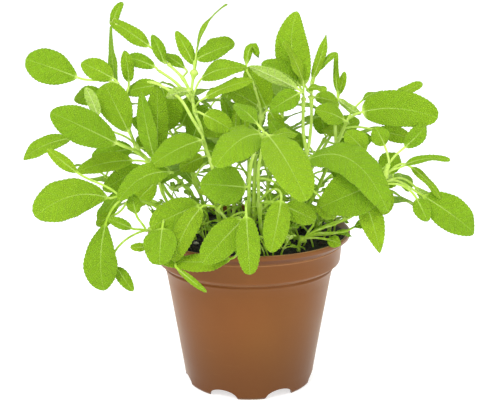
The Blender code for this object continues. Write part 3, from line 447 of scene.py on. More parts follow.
# Camera and light
CAMERA_PLACE = (0.0006, -0.5863, 0.24925)     # metres; within 0.4 mm of EYE
CAMERA_TILT = 13.34        # degrees below the horizontal
LENS = 73.48
SENSOR = 36.0
FLOOR_REACH = 12.0         # metres
LIGHT_TARGET = (0.0, 0.0, 0.11)
LIGHTS = (                 # name, place and size in metres, power in watts
    ("key", (-0.55, -1.10, 1.25), 0.6, 15.0),
    ("fill", (1.00, -0.90, 0.70), 1.0, 3.0),
    ("back", (0.30, 1.30, 1.10), 1.0, 5.0),
    ("front", (0.15, -1.40, 0.40), 0.9, 3.0),
)


# ---------------------------------------------------------------- objects

def collection(name):
    made = bpy.data.collections.new(name)
    bpy.context.scene.collection.children.link(made)
    return made


def add_object(name, data, home=None):
    """Link a mesh, lamp or camera as an object, to the scene's own collection if none is given."""
    made = bpy.data.objects.new(name, data)
    (home or bpy.context.scene.collection).objects.link(made)
    return made


def dress(piece, finish):
    """Give a piece its one material and smooth shading."""
    piece.data.materials.clear()
    piece.data.materials.append(finish)
    piece.data.shade_smooth()
    return piece


def turn_outward(mesh, merge=None):
    """Turn all faces outward, with seams welded first where merge gives a distance."""
    work = bmesh.new()
    work.from_mesh(mesh)
    if merge:
        bmesh.ops.remove_doubles(work, verts=work.verts, dist=merge)
    bmesh.ops.recalc_face_normals(work, faces=work.faces)
    work.to_mesh(mesh)
    work.free()
    return mesh


def bake_modifiers(target):
    """Replace an object's mesh by its evaluated mesh."""
    evaluated = target.evaluated_get(bpy.context.evaluated_depsgraph_get())
    baked = bpy.data.meshes.new_from_object(evaluated)
    target.modifiers.clear()
    target.data = baked


def boolean(target, others, operation, solver="EXACT"):
    """Cut or join a whole collection at once, then drop it."""
    step = target.modifiers.new("boolean", "BOOLEAN")
    step.operation = operation
    step.operand_type = "COLLECTION"
    step.collection = others
    step.solver = solver
    bake_modifiers(target)
    for used in list(others.objects):
        bpy.data.objects.remove(used)
    bpy.data.collections.remove(others)


# ---------------------------------------------------------------- growth, as in the solids

def world(point, shift=0.0):
    """The place of an (across, up, depth) layout point, moved along its line of sight."""
    across, up, depth = point
    on_plane = Vector((across, 0.0, up))
    return EYE + (on_plane - EYE) * ((depth + shift - EYE.y) / -EYE.y)


def cubic(a, b, c, d, t):
    """A point of a cubic Bezier curve."""
    s = 1.0 - t
    return a * s ** 3 + b * 3 * s * s * t + c * 3 * s * t * t + d * t ** 3


def smooth_route(points, spacing):
    """A smooth curve through the points, sampled about every `spacing` millimetres."""
    padded = [2 * points[0] - points[1]] + points + [2 * points[-1] - points[-2]]
    route = []
    for i in range(1, len(padded) - 2):
        before, a, b, after = padded[i - 1:i + 3]
        count = max(1, round((b - a).length / spacing))
        for j in range(count):
            route.append(cubic(a, a + (b - before) / 6, b - (after - a) / 6, b, j / count))
    return route + [points[-1]]


class Stem:
    """A round stem along a smooth route, thinner towards its top."""

    def __init__(self, waypoints, radius, rounding):
        self.waypoints = waypoints
        self.radius = radius
        self.rounding = rounding
        self.route = smooth_route(waypoints, STEM_SPACING)

    def mesh(self, name, grow=0.0):
        curve = bpy.data.curves.new(name, "CURVE")
        curve.dimensions = "3D"
        curve.bevel_depth = MM
        curve.bevel_resolution = self.rounding
        curve.use_fill_caps = True
        spline = curve.splines.new("POLY")
        spline.points.add(len(self.route) - 1)
        for number, (knot, place) in enumerate(zip(spline.points, self.route)):
            share = number / (len(self.route) - 1)
            knot.co = (*(place * MM), 1.0)
            knot.radius = self.radius + (STEM_TIP_RADIUS - self.radius) * share + grow
        wire = add_object(name, curve)
        evaluated = wire.evaluated_get(bpy.context.evaluated_depsgraph_get())
        mesh = bpy.data.meshes.new_from_object(evaluated)
        bpy.data.objects.remove(wire)
        return turn_outward(mesh, merge=MERGE)


def blade_half(t, form):
    """Half width of a sage blade along its length, as a share of its greatest half width."""
    return math.sin(math.pi * t ** (math.log(0.5) / math.log(form.broad))) ** form.blunt


class Blade:
    """A leaf: petiole and blade lofted along one spine."""

    def __init__(self, start, base, tip, via, form, wave, spacing):
        self.base = base
        self.tip = tip
        self.form = form
        self.wave = wave if form.fold is None else (form.fold, *wave[1:])
        self.length = (tip - base).length
        along = (tip - base).normalized()
        self.up = (form.face - along * form.face.dot(along)).normalized()
        self.rise = via - (base + tip) / 2 if via else self.up * form.arch
        entry = (along + self.rise * (4.0 / self.length)).normalized()
        reach = base - start
        lift = Vector((0, 0, 1)) * (form.bow + 0.12 * reach.length)
        self.lead = (start, start + reach * 0.35 + lift, base - entry * reach.length * 0.4)
        count = max(3, min(8, round(self.length / spacing)))
        shares = [0.4 * i / count + 0.3 - 0.3 * math.cos(math.pi * i / count)
                  for i in range(count)]
        self.spine = [self.petiole(0.0), self.petiole(0.45)]
        self.spine += [self.midrib(t) for t in shares] + [tip]
        self.shares = [None, None] + shares + [1.0]

    def petiole(self, t):
        return cubic(*self.lead, self.base, t)

    def midrib(self, t):
        return self.base.lerp(self.tip, t) + self.rise * (4 * t * (1 - t))

    def rings(self, grow=0.0):
        """Left, top, right and bottom point of each section; grow thickens it all round."""
        rings = []
        for i, (place, share) in enumerate(zip(self.spine, self.shares)):
            if i == len(self.spine) - 1:
                break
            ahead = self.spine[i + 1] - self.spine[max(i - 1, 0)]
            side = ahead.cross(self.up).normalized()
            up = side.cross(ahead).normalized()
            if share is None or share == 0.0:
                half, thick, lift = PETIOLE_HALF, 2 * PETIOLE_HALF, 0.0
            else:
                half = max(PETIOLE_HALF, self.form.width / 2 * blade_half(share, self.form))
                half *= 1.0 + 0.035 * (-1) ** i
                thick = RIB_THICKNESS - 0.4 * share
                lift = half * self.wave[0]
            ripple = 0.0
            if share is not None:
                ripple = self.wave[1] * math.sin(RIPPLES * share + self.wave[2])
            half += grow
            top = up * (thick / 2 + grow)
            rings.append([
                place - side * half + up * (lift + ripple),
                place + top,
                place + side * half + up * (lift - ripple),
                place - top,
            ])
        return rings

    def solid(self, grow=0.0):
        """Points and triangles of the closed leaf, split alike on both faces."""
        rings = self.rings(grow)
        points = [point for ring in rings for point in ring] + [self.spine[-1]]
        faces = [(0, 1, 2), (0, 2, 3)]
        for i in range(len(rings) - 1):
            left, top, right, bottom = range(4 * i, 4 * i + 4)
            for inner in (top, bottom):
                faces.append((left, inner, inner + 4))
                faces.append((left, inner + 4, left + 4))
                faces.append((right, inner, inner + 4))
                faces.append((right, inner + 4, right + 4))
        left, top, right, bottom = range(4 * len(rings) - 4, 4 * len(rings))
        peak = len(points) - 1
        faces += [(left, top, peak), (top, right, peak), (right, bottom, peak),
                  (bottom, left, peak)]
        return points, faces


class Thicket:
    """What is already placed, so that nothing new crosses another shoot, the pot or the soil."""

    def __init__(self):
        self.placed = []

    @staticmethod
    def box(points):
        low = Vector([min(p[k] for p in points) for k in range(3)])
        high = Vector([max(p[k] for p in points) for k in range(3)])
        return low, high

    def add(self, owner, points, faces):
        self.placed.append((owner, self.box(points), BVHTree.FromPolygons(points, faces)))

    def crossed(self, points, faces):
        """Names of the owners that these faces would cross."""
        low, high = self.box(points)
        tree = BVHTree.FromPolygons(points, faces)
        names = set()
        for owner, (other_low, other_high), other in self.placed:
            if owner in names:
                continue
            apart = any(low[k] > other_high[k] or other_low[k] > high[k] for k in range(3))
            if not apart and tree.overlap(other):
                names.add(owner)
        return names


def soup(mesh):
    """Points in millimetres and faces of a mesh."""
    return ([vertex.co / MM for vertex in mesh.vertices],
            [tuple(face.vertices) for face in mesh.polygons])


class Sprig:
    """One leafy shoot: stems and leaves that end up as one solid."""

    def __init__(self, name, root, rounding):
        self.name = name
        self.rounding = rounding
        self.root = Vector((root[0], root[1], SOIL_TOP - HOLE_DEPTH + FIT))
        self.stems = []
        self.leaves = []

    def spines(self):
        return [stem.route for stem in self.stems] + [one.spine for one in self.leaves]

    def nearest(self, across, up):
        """The spine point whose layout place is nearest to (across, up)."""
        best = None
        for spine in self.spines():
            for a, b in zip(spine, spine[1:]):
                for j in range(5):
                    place = a.lerp(b, j / 4)
                    seen = EYE + (place - EYE) * (-EYE.y / (place.y - EYE.y))
                    miss = math.hypot(seen.x - across, seen.z - up)
                    if best is None or miss < best[0]:
                        best = (miss, place)
        return best[1]

    def new_stem(self, waypoints):
        """A stem; the first stands in the soil and the others start on an earlier one."""
        if self.stems:
            points = waypoints
            radius = BRANCH_RADIUS
        else:
            above = Vector((self.root.x, self.root.y, SOIL_TOP + STEM_COLLAR))
            points = [self.root, above] + waypoints
            radius = STEM_RADIUS
        return Stem(points, radius, self.rounding)


def random_wave(rng):
    """Fold, ripple height and ripple phase of one blade."""
    return (rng.uniform(*FOLD_RANGE), rng.uniform(*RIPPLE_RANGE), rng.uniform(0.0, math.tau))


def place_leaf(sprig, thicket, options, wave, spacing):
    """Take the first option that crosses nothing, else the first that crosses only its own."""
    own_blades = sprig.name + " blades"
    chosen = None
    for option in options:
        candidate = Blade(*option, wave, spacing)
        names = thicket.crossed(*candidate.solid(grow=CLEARANCE)) - {sprig.name}
        if not names:
            chosen = candidate
            break
        if names == {own_blades} and chosen is None:
            chosen = candidate
    if chosen:
        sprig.leaves.append(chosen)
        points, faces = chosen.solid()
        thicket.add(sprig.name, points, [face for face in faces if min(face) < 8])
        thicket.add(own_blades, points, [face for face in faces if min(face) >= 8])
    return chosen is not None


def lay_out_leaf(sprig, thicket, row, wave):
    """Place a leaf of the layout, moving it along its line of sight until it is clear."""
    start = sprig.nearest(*row.start)
    options = []
    for tilt in TILT_TRIALS:
        for shift in DEPTH_TRIALS:
            base = world(row.base, shift)
            tip = world(row.tip, shift + tilt)
            via = world(row.via, shift + tilt / 2) if row.via else None
            options.append((start, base, tip, via, row.form))
    if not place_leaf(sprig, thicket, options, wave, ROW_SPACING[0]):
        raise ValueError(f"{sprig.name} has no room for its leaf at {row.tip}")


def plant_stem(sprig, thicket, options):
    """Grow a stem of a shoot along the first route that crosses no other shoot."""
    for waypoints in options:
        stem = sprig.new_stem(waypoints)
        names = thicket.crossed(*soup(stem.mesh("stem", grow=CLEARANCE)))
        if not names - {sprig.name, "soil"}:
            break
    else:
        raise ValueError(f"{sprig.name} has no clear route for a stem")
    sprig.stems.append(stem)
    thicket.add(sprig.name, *soup(stem.mesh("stem")))


def lay_out_sprigs(thicket, rng):
    """The shoots of the layout: all their stems first, then their leaves."""
    sprigs = []
    for name, plan in SPRIGS.items():
        sprig = Sprig(name, plan["root"], rounding=1)
        for number, stem in enumerate(plan["stems"]):
            waypoints = [world(point) for point in stem]
            if number:
                waypoints = [sprig.nearest(stem[0][0], stem[0][1])] + waypoints[1:]
            plant_stem(sprig, thicket, [waypoints])
        sprigs.append(sprig)
    for sprig in sprigs:
        for row in SPRIGS[sprig.name]["leaves"]:
            lay_out_leaf(sprig, thicket, row, random_wave(rng))
    return sprigs


def outward(angle):
    """The level direction at an angle round the pot, 0 at the far side."""
    return Vector((math.sin(angle), math.cos(angle), 0.0))


def grow_leaf(sprig, thicket, start, heading, length, lean, rng):
    """Grow a leaf from a stem, turning it until it is clear; it is left out if it never is.

    Leaves of an upright shoot (lean 0) stand up, those of a leaning one (lean 1) spread.
    """
    wave = random_wave(rng)
    rise = rng.uniform(0.9, 1.5) - 0.7 * lean
    pitch = rng.uniform(0.1, 1.1) - 0.8 * lean
    options = []
    for lift in LIFT_TRIALS:
        for turn in TURN_TRIALS:
            away = outward(heading + math.radians(turn))
            up = Vector((0, 0, rise + lift))
            base = start + (away + up).normalized() * length * PETIOLE_SHARE
            tip = base + (away + Vector((0, 0, pitch + lift))).normalized() * length
            form = Form(length * BLADE_SHAPE, Vector((0, 0, 1)) + away * 0.2, length * 0.07,
                        0.0, BLUNT, BROAD, None)
            options.append((start, base, tip, None, form))
    place_leaf(sprig, thicket, options, wave, ROW_SPACING[1])


def grow_sprig(thicket, ring, number, rng):
    """A shoot grown by rule: a leaning stem with crossed pairs of leaves and a tuft."""
    share = (number + 0.5) / ring.count - 0.5
    angle = math.radians(ring.sweep) * share + rng.uniform(-0.1, 0.1)
    sprig = Sprig(f"sprig_{ring.kind}_{number + 1}", outward(angle) * ring.root, rounding=0)
    reach = ring.reach * rng.uniform(0.88, 1.0)
    height = ring.top * rng.uniform(0.94, 1.04)
    routes = []
    for turn in TURN_TRIALS:
        away = outward(angle + math.radians(turn))
        for spread in SPREAD_TRIALS:
            middle = away * (ring.root * 0.5 + reach * 0.36 * spread)
            middle.z = BEND_HEIGHT + height * 0.5
            routes.append([middle, away * reach * spread + Vector((0, 0, height))])
    plant_stem(sprig, thicket, routes)
    route = sprig.stems[0].route
    for pair, share in enumerate(PAIR_SHARES):
        start = route[min(len(route) - 1, round(share * (len(route) - 1)))]
        length = BLADE_LENGTH[0] + (BLADE_LENGTH[1] - BLADE_LENGTH[0]) * share
        length *= rng.uniform(0.85, 1.1)
        crossed = angle + (math.pi / 2 if pair % 2 else 0.35)
        for heading in (crossed, crossed + math.pi):
            if ring.lean == 0 or math.cos(heading - angle) > -0.6:
                grow_leaf(sprig, thicket, start, heading, length, ring.lean, rng)
    return sprig


# ---------------------------------------------------------------- fine shoots

def smoothstep(low, high, value):
    t = np.clip((value - low) / (high - low), 0.0, 1.0)
    return t * t * (3.0 - 2.0 * t)


def unit(rows):
    return rows / np.linalg.norm(rows, axis=1, keepdims=True)


def carried(last, ahead):
    """A last side vector carried without twist back along the route, one for each direction."""
    rows = [last]
    for tangent in ahead[::-1]:
        side = rows[-1] - tangent * rows[-1].dot(tangent)
        rows.append(side / np.linalg.norm(side))
    return np.array(rows[::-1])


def tube_faces(rows, ring):
    """Quads of a tube of `rows` rings, with a fan to one end point and a cap at its start."""
    i = np.arange(rows - 1)[:, None] * ring
    j = np.arange(ring)[None, :]
    k = (j + 1) % ring
    quads = np.stack([i + j, i + k, i + k + ring, i + j + ring], axis=-1).reshape(-1, 4)
    last = (rows - 1) * ring
    fan = [(last + a, last + (a + 1) % ring, last + ring) for a in range(ring)]
    return [tuple(range(ring))[::-1]] + quads.tolist() + fan


class Grown:
    """A closed mesh in the making: points, faces and what the leaf material reads."""

    def __init__(self, points, faces, blade, part):
        self.points = points
        self.faces = faces
        self.blade = blade         # millimetres along, millimetres across, share of the length
        self.part = part           # blade or stalk, under or upper side, tint

    def mesh(self, name):
        mesh = bpy.data.meshes.new(name)
        mesh.from_pydata((self.points * MM).tolist(), [], self.faces)
        for label, rows in (("blade", self.blade), ("part", self.part)):
            layer = mesh.attributes.new(label, "FLOAT_VECTOR", "POINT")
            layer.data.foreach_set("vector", np.ascontiguousarray(rows, np.float32).ravel())
        return turn_outward(mesh)


def fine_leaf(blade, start, rng, stalk_half=STALK_HALF):
    """A leaf in full detail: grooved petiole, midrib, side veins, quilting and scalloped margin."""
    width, length = blade.form.width, blade.length
    lead = (start, *blade.lead[1:])
    stalk_rows = max(4, min(16, round((blade.base - start).length / 2.0)))
    blade_rows = max(8, min(60, round(length / ROW_STEP)))
    stalk = [cubic(*lead, blade.base, i / stalk_rows) for i in range(stalk_rows)]
    even = np.arange(blade_rows) / blade_rows
    shares = 0.72 * even + 0.28 * (0.5 - 0.5 * np.cos(np.pi * even))
    spine = np.array(stalk + [blade.midrib(t) for t in shares] + [blade.tip])
    ahead = unit(np.gradient(spine, axis=0))
    up = np.array(blade.up)
    side = unit(np.cross(ahead[stalk_rows:], up))
    side = np.vstack([carried(side[0], ahead[:stalk_rows])[:-1], side])
    rise = np.cross(side, ahead)

    across = HALF_BLADE[NARROW_PICK] if width < NARROW else HALF_BLADE
    v = np.concatenate([-across, across[-2::-1]])
    v = np.concatenate([v, v[-2:0:-1]])[None, :]
    under = np.zeros_like(v)
    under[0, 2 * len(across) - 1:] = 1.0
    under[0, [0, 2 * len(across) - 2]] = 0.5
    facing = 1.0 - 2.0 * under

    t = np.concatenate([np.zeros(stalk_rows), shares])[:, None]
    on_blade = np.concatenate([np.zeros(stalk_rows), np.ones(blade_rows)])[:, None]
    opening = on_blade * smoothstep(0.0, 0.07, t)
    outline = np.array([blade_half(share, blade.form) for share in t[:, 0]])[:, None] * on_blade
    half = np.sqrt(stalk_half ** 2 + (width / 2 * outline) ** 2)
    row = np.arange(len(t))[:, None]
    tooth = TOOTH * np.minimum(1.0, half / 4.0) * (-1.0) ** row * opening
    along = t * length
    y = v * (half + tooth * smoothstep(0.75, 1.0, np.abs(v)))

    fold, ripple, phase = blade.wave
    bend = half * fold * np.abs(v) ** 1.4 - v * ripple * np.sin(RIPPLES * t + phase)
    flutter = FLUTTER * half * np.abs(v) ** 3 * np.sin(along / 1.9 + phase * (1 + np.sign(v)))
    order = (along - VEIN_SLANT * np.abs(y)) / VEIN_PITCH + VEIN_STAGGER * np.sign(v)
    quilt = QUILT * (np.abs(np.sin(np.pi * order)) ** 0.8 - 0.55)
    quilt *= smoothstep(0.4, 2.2, np.abs(y)) * (1.0 - np.abs(v) ** 4) * np.minimum(1.0, half / 5.0)
    middle = (bend + flutter + quilt) * opening

    thin = BLADE_THICKNESS * (1.0 - 0.25 * t)
    thick = 2 * stalk_half + (thin - 2 * stalk_half) * opening
    edge = np.sqrt(np.maximum(0.0, 1.0 - np.abs(v) ** (2.0 + 3.0 * opening)))
    rib = np.exp(-(y / RIB_WIDTH) ** 2) * opening
    groove = GROOVE_DEPTH * np.exp(-(y / GROOVE_WIDTH) ** 2) * (1.0 - 0.8 * t)
    lift = middle + facing * thick / 2 * edge
    lift -= under * rib * RIB_DEPTH * (1.0 - 0.85 * t) + (under == 0) * groove

    place = (spine[:-1, None, :] + side[:-1, None, :] * y[..., None]
             + rise[:-1, None, :] * lift[..., None])
    points = np.vstack([place.reshape(-1, 3), spine[-1]])
    tint = rng.random()
    marks = np.stack(np.broadcast_arrays(along, y, t), axis=-1).reshape(-1, 3)
    parts = np.stack(np.broadcast_arrays(opening, under, tint), axis=-1).reshape(-1, 3)
    marks = np.vstack([marks, [length, 0.0, 1.0]])
    parts = np.vstack([parts, [1.0, 0.5, tint]])
    return Grown(points, tube_faces(len(t), v.shape[1]), marks, parts)


def fine_stem(stem, knobs, rng, tip_radius=STEM_TIP_RADIUS, sides=STEM_SIDES):
    """A stem in full detail: squarish, tapered, swollen where leaves leave it, with a round top."""
    spine = np.array(smooth_route(stem.waypoints, STEM_STEP))
    ahead = unit(np.gradient(spine, axis=0))
    side = carried(unit(np.cross(ahead[-1:], (0.3, 1.0, 0.2)))[0], ahead[:-1])
    rise = np.cross(side, ahead)
    share = np.linspace(0.0, 1.0, len(spine))
    radius = stem.radius + (tip_radius - stem.radius) * share
    for knob in knobs:
        gap = np.linalg.norm(spine - np.array(knob), axis=1)
        radius = np.maximum(radius, radius * (1.0 + KNOB * np.exp(-(gap / KNOB_REACH) ** 2)))
    last = np.linalg.norm(spine - spine[-1], axis=1)
    radius *= np.sqrt(np.clip(1.0 - (1.0 - last / 1.6).clip(0, 1) ** 2, 0.04, 1.0))
    angle = np.linspace(0.0, math.tau, sides, endpoint=False)
    ring = radius[:-1, None] * (1.0 + SQUARENESS * np.cos(4.0 * angle))[None, :]
    place = (spine[:-1, None, :] + side[:-1, None, :] * (ring * np.cos(angle))[..., None]
             + rise[:-1, None, :] * (ring * np.sin(angle))[..., None])
    points = np.vstack([place.reshape(-1, 3), spine[-1]])
    tint = rng.random()
    length = np.linalg.norm(np.diff(spine, axis=0), axis=1).sum()
    marks = np.stack(np.broadcast_arrays((share * length)[:-1, None], angle * 1.2,
                                         share[:-1, None]), axis=-1)
    marks = np.vstack([marks.reshape(-1, 3), [length, 0.0, 1.0]])
    parts = np.tile([0.0, 0.0, tint], (len(points), 1))
    return Grown(points, tube_faces(len(spine) - 1, sides), marks, parts)


def snap(place, routes):
    """The nearest point of the fine routes, if it is near."""
    best = min((point for route in routes for point in route), key=lambda p: (p - place).length)
    return best if (best - place).length < SNAP_REACH else place


def close_slivers(mesh):
    """Merge away the slivers that a union leaves, where the mesh stays closed."""
    work = bmesh.new()
    work.from_mesh(mesh)
    bmesh.ops.dissolve_degenerate(work, edges=work.edges, dist=SLIVER)
    bmesh.ops.triangulate(work, faces=[face for face in work.faces if len(face.verts) > 4])
    whole = all(len(edge.link_faces) == 2 for edge in work.edges)
    if whole and all(vertex.link_faces for vertex in work.verts):
        work.to_mesh(mesh)
    work.free()


def joined(name, grown, finish):
    """Closed meshes joined into one piece."""
    piece = add_object(name, grown[0].mesh("growth"))
    rest = collection("growth")
    for number, growth in enumerate(grown[1:]):
        add_object(f"growth_{number}", growth.mesh("growth"), rest)
    boolean(piece, rest, "UNION", solver="MANIFOLD")
    close_slivers(piece.data)
    return dress(piece, finish)


def fine_sprig(sprig, finish, rng):
    """One shoot as a single closed piece, riding in the place of its solid."""
    routes = [smooth_route(stem.waypoints, STEM_STEP) for stem in sprig.stems]
    starts = []
    for one in sprig.leaves:
        start = snap(one.lead[0], routes)
        starts.append(start - (one.lead[1] - start).normalized() * ROOTING)
        lead = (start, *one.lead[1:])
        stalk = [cubic(*lead, one.base, i / ROUTE_STEPS) for i in range(ROUTE_STEPS)]
        routes.append(stalk + [one.midrib(i / ROUTE_STEPS) for i in range(ROUTE_STEPS + 1)])
    grown = [fine_stem(stem, starts, rng) for stem in sprig.stems]
    grown += [fine_leaf(one, start, rng) for one, start in zip(sprig.leaves, starts)]
    return joined("fine_" + sprig.name, grown, finish)


def seedling(place, thicket, rng):
    """A thin young plant with a few small leaves, or nothing where there is no room for it."""
    height = rng.uniform(*SEEDLING_HEIGHT)
    lean = outward(rng.uniform(0.0, math.tau)) * rng.uniform(0.1, 0.9)
    sway = outward(rng.uniform(0.0, math.tau)) * rng.uniform(0.0, 2.5)
    top = place + Vector((0, 0, height)) + lean * height
    middle = place.lerp(top, 0.5) - lean * height * 0.2 + sway
    stem = Stem([place, middle, top], SEEDLING_STEM, 0)
    if thicket.crossed(*soup(stem.mesh("stem", grow=SEEDLING_CLEARANCE))) - {"soil"}:
        return []
    grown = [fine_stem(stem, [], rng, 0.7 * SEEDLING_STEM, SEEDLING_SIDES)]
    thicket.add("seedlings", *soup(stem.mesh("stem")))
    heading = rng.uniform(0.0, math.tau)
    for share, turn in SEEDLING_LEAVES:
        start = middle.lerp(top, 2.0 * share - 1.0)
        away = outward(heading + turn + rng.uniform(-0.4, 0.4))
        length = rng.uniform(*SEEDLING_LEAF)
        rise = rng.uniform(0.2, 1.3)
        base = start + (away + Vector((0, 0, rise))).normalized() * length * 0.45
        tip = base + (away + Vector((0, 0, rise - 0.5))).normalized() * length
        form = Form(length * rng.uniform(0.42, 0.62), Vector((0, 0, 1)) - away * 0.3,
                    length * 0.06, 0.0, 0.55, 0.5, None)
        young = Blade(start, base, tip, None, form, random_wave(rng), 3.0)
        if not thicket.crossed(*young.solid(grow=SEEDLING_CLEARANCE)) - {"seedlings"}:
            grown.append(fine_leaf(young, start, rng, 0.8 * SEEDLING_STEM))
            thicket.add("seedlings", *young.solid())
    return grown


def make_seedlings(thicket, sprigs, finish):
    """Young plants between the shoots, all over the soil."""
    rng = random.Random(LOOKS_SEED)
    grown = []
    for _ in range(SEEDLINGS):
        radius = SOIL_EDGE * SEEDLING_SPREAD * math.sqrt(rng.random())
        place = outward(rng.uniform(0.0, math.tau)) * radius
        place.z = SOIL_TOP - SEEDLING_DEPTH
        gaps = [(sprig.root.xy - place.xy).length for sprig in sprigs]
        if min(gaps) > SEEDLING_GAP:
            grown += seedling(place, thicket, rng)
    return joined("seedlings", grown, finish)


# ---------------------------------------------------------------- pot and soil

def arc(centre, radius, first, last, steps):
    """Points of an arc in the (radius, height) plane; angles in degrees."""
    angles = [math.radians(first + (last - first) * i / steps) for i in range(steps + 1)]
    return [(centre[0] + radius * math.cos(a), centre[1] + radius * math.sin(a)) for a in angles]


def turned(name, profile):
    """A solid of revolution about the z axis."""
    mesh = bpy.data.meshes.new(name)
    points = [(radius * MM, 0.0, height * MM) for radius, height in profile]
    mesh.from_pydata(points, [(i, i + 1) for i in range(len(points) - 1)], [])
    solid = add_object(name, mesh)
    screw = solid.modifiers.new("turn", "SCREW")
    screw.steps = screw.render_steps = POT_STEPS
    screw.use_merge_vertices = True
    screw.merge_threshold = MERGE
    bake_modifiers(solid)
    return solid


def cutter_cylinder(name, radius, depth, placement, home, sides):
    """A cylinder primitive used to cut; sizes in millimetres, placed by a matrix."""
    mesh = bpy.data.meshes.new(name)
    work = bmesh.new()
    bmesh.ops.create_cone(
        work, cap_ends=True, segments=sides, radius1=radius * MM, radius2=radius * MM,
        depth=depth * MM, matrix=placement)
    work.to_mesh(mesh)
    work.free()
    add_object(name, mesh, home)


def pot_profile():
    """Half section of the pot, from the floor's top, over the lip and down the outside."""
    inner = [
        (0.0, FLOOR_Z),
        *arc((FOOT_RADIUS - 0.9, FLOOR_Z + 1.2), 1.2, -90, -8, 4),
        (WALL_TOP_RADIUS - WALL, 70.0),
        (LEDGE_RADIUS - WALL - 1.0, 73.0),
        (LEDGE_RADIUS - WALL, 74.6),
        (BAND_RADIUS - WALL - 0.2, 80.0),
        (BAND_RADIUS - WALL + 0.1, 85.5),
        (LIP_RADIUS - 4.6, 88.0),
    ]
    lip = arc((LIP_RADIUS - 1.0, POT_HEIGHT - 1.0), 1.0, 125, -5, 8)
    outer = [
        (LIP_RADIUS - 0.1, POT_HEIGHT - 2.2),
        *arc((LIP_RADIUS - 0.7, POT_HEIGHT - 2.4), 0.5, -10, -55, 3),
        (BAND_RADIUS + 1.7, 87.4),
        (BAND_RADIUS + 1.0, 86.9),
        *arc((BAND_RADIUS + 0.3, 86.1), 0.6, 60, -20, 4),
        (BAND_RADIUS + 0.45, 85.0),
        (BAND_RADIUS + 0.05, 80.0),
        *arc((BAND_RADIUS - 1.8, 76.2), 1.5, 0, -62, 5),
        (LEDGE_RADIUS, 73.6),
        (LEDGE_RADIUS - 1.6, 72.8),
        (LEDGE_RADIUS - 1.75, 72.4),
        *arc((LEDGE_RADIUS - 2.1, 71.3), 0.85, 60, -40, 4),
        (WALL_TOP_RADIUS + 0.1, 69.8),
        (48.6, 64.0),
        (47.2, 55.5),
        (43.8, 35.0),
        (41.1, 18.5),
        (FOOT_RADIUS + 1.8, 9.0),
        *arc((FOOT_RADIUS - 1.3, 2.2), 2.2, 12, -68, 6),
    ]
    foot = [
        (FOOT_RADIUS - 0.6, 0.0),
        (FOOT_RADIUS - SKIRT + 0.2, 0.0),
        (FOOT_RADIUS - SKIRT, 0.4),
        (FOOT_RADIUS, FLOOR_Z - WALL),
        (0.0, FLOOR_Z - WALL),
    ]
    return inner + lip + outer + foot


def make_pot(finish):
    """The pot: a turned shell with arched notches in its foot and drain holes in its floor."""
    pot = turned("fine_pot", pot_profile())
    cutters = collection("pot cutters")
    for i in range(NOTCHES):
        around = Matrix.Rotation(math.radians(NOTCH_TURN) + math.tau * i / NOTCHES, 4, "Z")
        arch = (Matrix.Translation((FOOT_RADIUS * MM, 0, 0))
                @ Matrix.Diagonal((1, 1, 2 * NOTCH_HEIGHT / NOTCH_WIDTH, 1))
                @ Matrix.Rotation(math.pi / 2, 4, "Y"))
        cutter_cylinder(f"notch_{i}", NOTCH_WIDTH / 2, 9.0, around @ arch, cutters,
                        NOTCH_SIDES)
    for i in range(DRAIN_HOLES):
        angle = math.tau * i / DRAIN_HOLES
        place = Vector((math.cos(angle), math.sin(angle), 0)) * DRAIN_RING
        place.z = FLOOR_Z - WALL / 2
        cutter_cylinder(f"drain_{i}", DRAIN_RADIUS, 4 * WALL, Matrix.Translation(place * MM),
                        cutters, DRAIN_SIDES)
    boolean(pot, cutters, "DIFFERENCE")
    dress(pot, finish)
    pot.data.set_sharp_from_angle(angle=math.radians(POT_CREASE))
    return pot


def soil_height(x, y):
    """Height of the crumbly top of the soil."""
    waves = (math.sin(x * 0.31 + 1.3) * math.cos(y * 0.27)
             + 0.6 * math.sin(x * 0.83 + y * 0.71)
             + 0.4 * math.cos(x * 1.37 - y * 1.13))
    return SOIL_TOP + SOIL_LUMP * 0.5 * waves


def crumbly(x, y, share):
    """Height of the soil with its fine crumb, banked up to the lip; share is that of its radius."""
    coarse = noise.noise(Vector((x * 0.16, y * 0.16, 3.0)))
    fine = noise.turbulence(Vector((x * 0.42, y * 0.42, 0.0)), 3, True)
    level = soil_height(x, y) + 1.1 * coarse + 1.5 * (fine - 0.5)
    bank = max(0.0, (share - BANK_START) / (1.0 - BANK_START)) ** 2
    return level + (SOIL_BANK - level) * bank


def crumb(place, size, rng):
    """Points and faces of one rough crumb."""
    work = bmesh.new()
    bmesh.ops.create_icosphere(work, subdivisions=2, radius=1.0)
    shift = Vector([rng.uniform(0, 50) for _ in range(3)])
    stretch = Vector((rng.uniform(0.7, 1.4), rng.uniform(0.7, 1.4), rng.uniform(0.5, 0.95)))
    points = []
    for vertex in work.verts:
        bump = 1.0 + 0.45 * noise.noise(vertex.co * 1.6 + shift)
        points.append(place + vertex.co * stretch * size * bump)
    faces = [tuple(v.index for v in face.verts) for face in work.faces]
    work.free()
    return points, faces


def spoke(radius, number):
    """The x and y of a point of one ring of the soil."""
    angle = math.tau * number / SOIL_SPOKES
    return radius * math.cos(angle), radius * math.sin(angle)


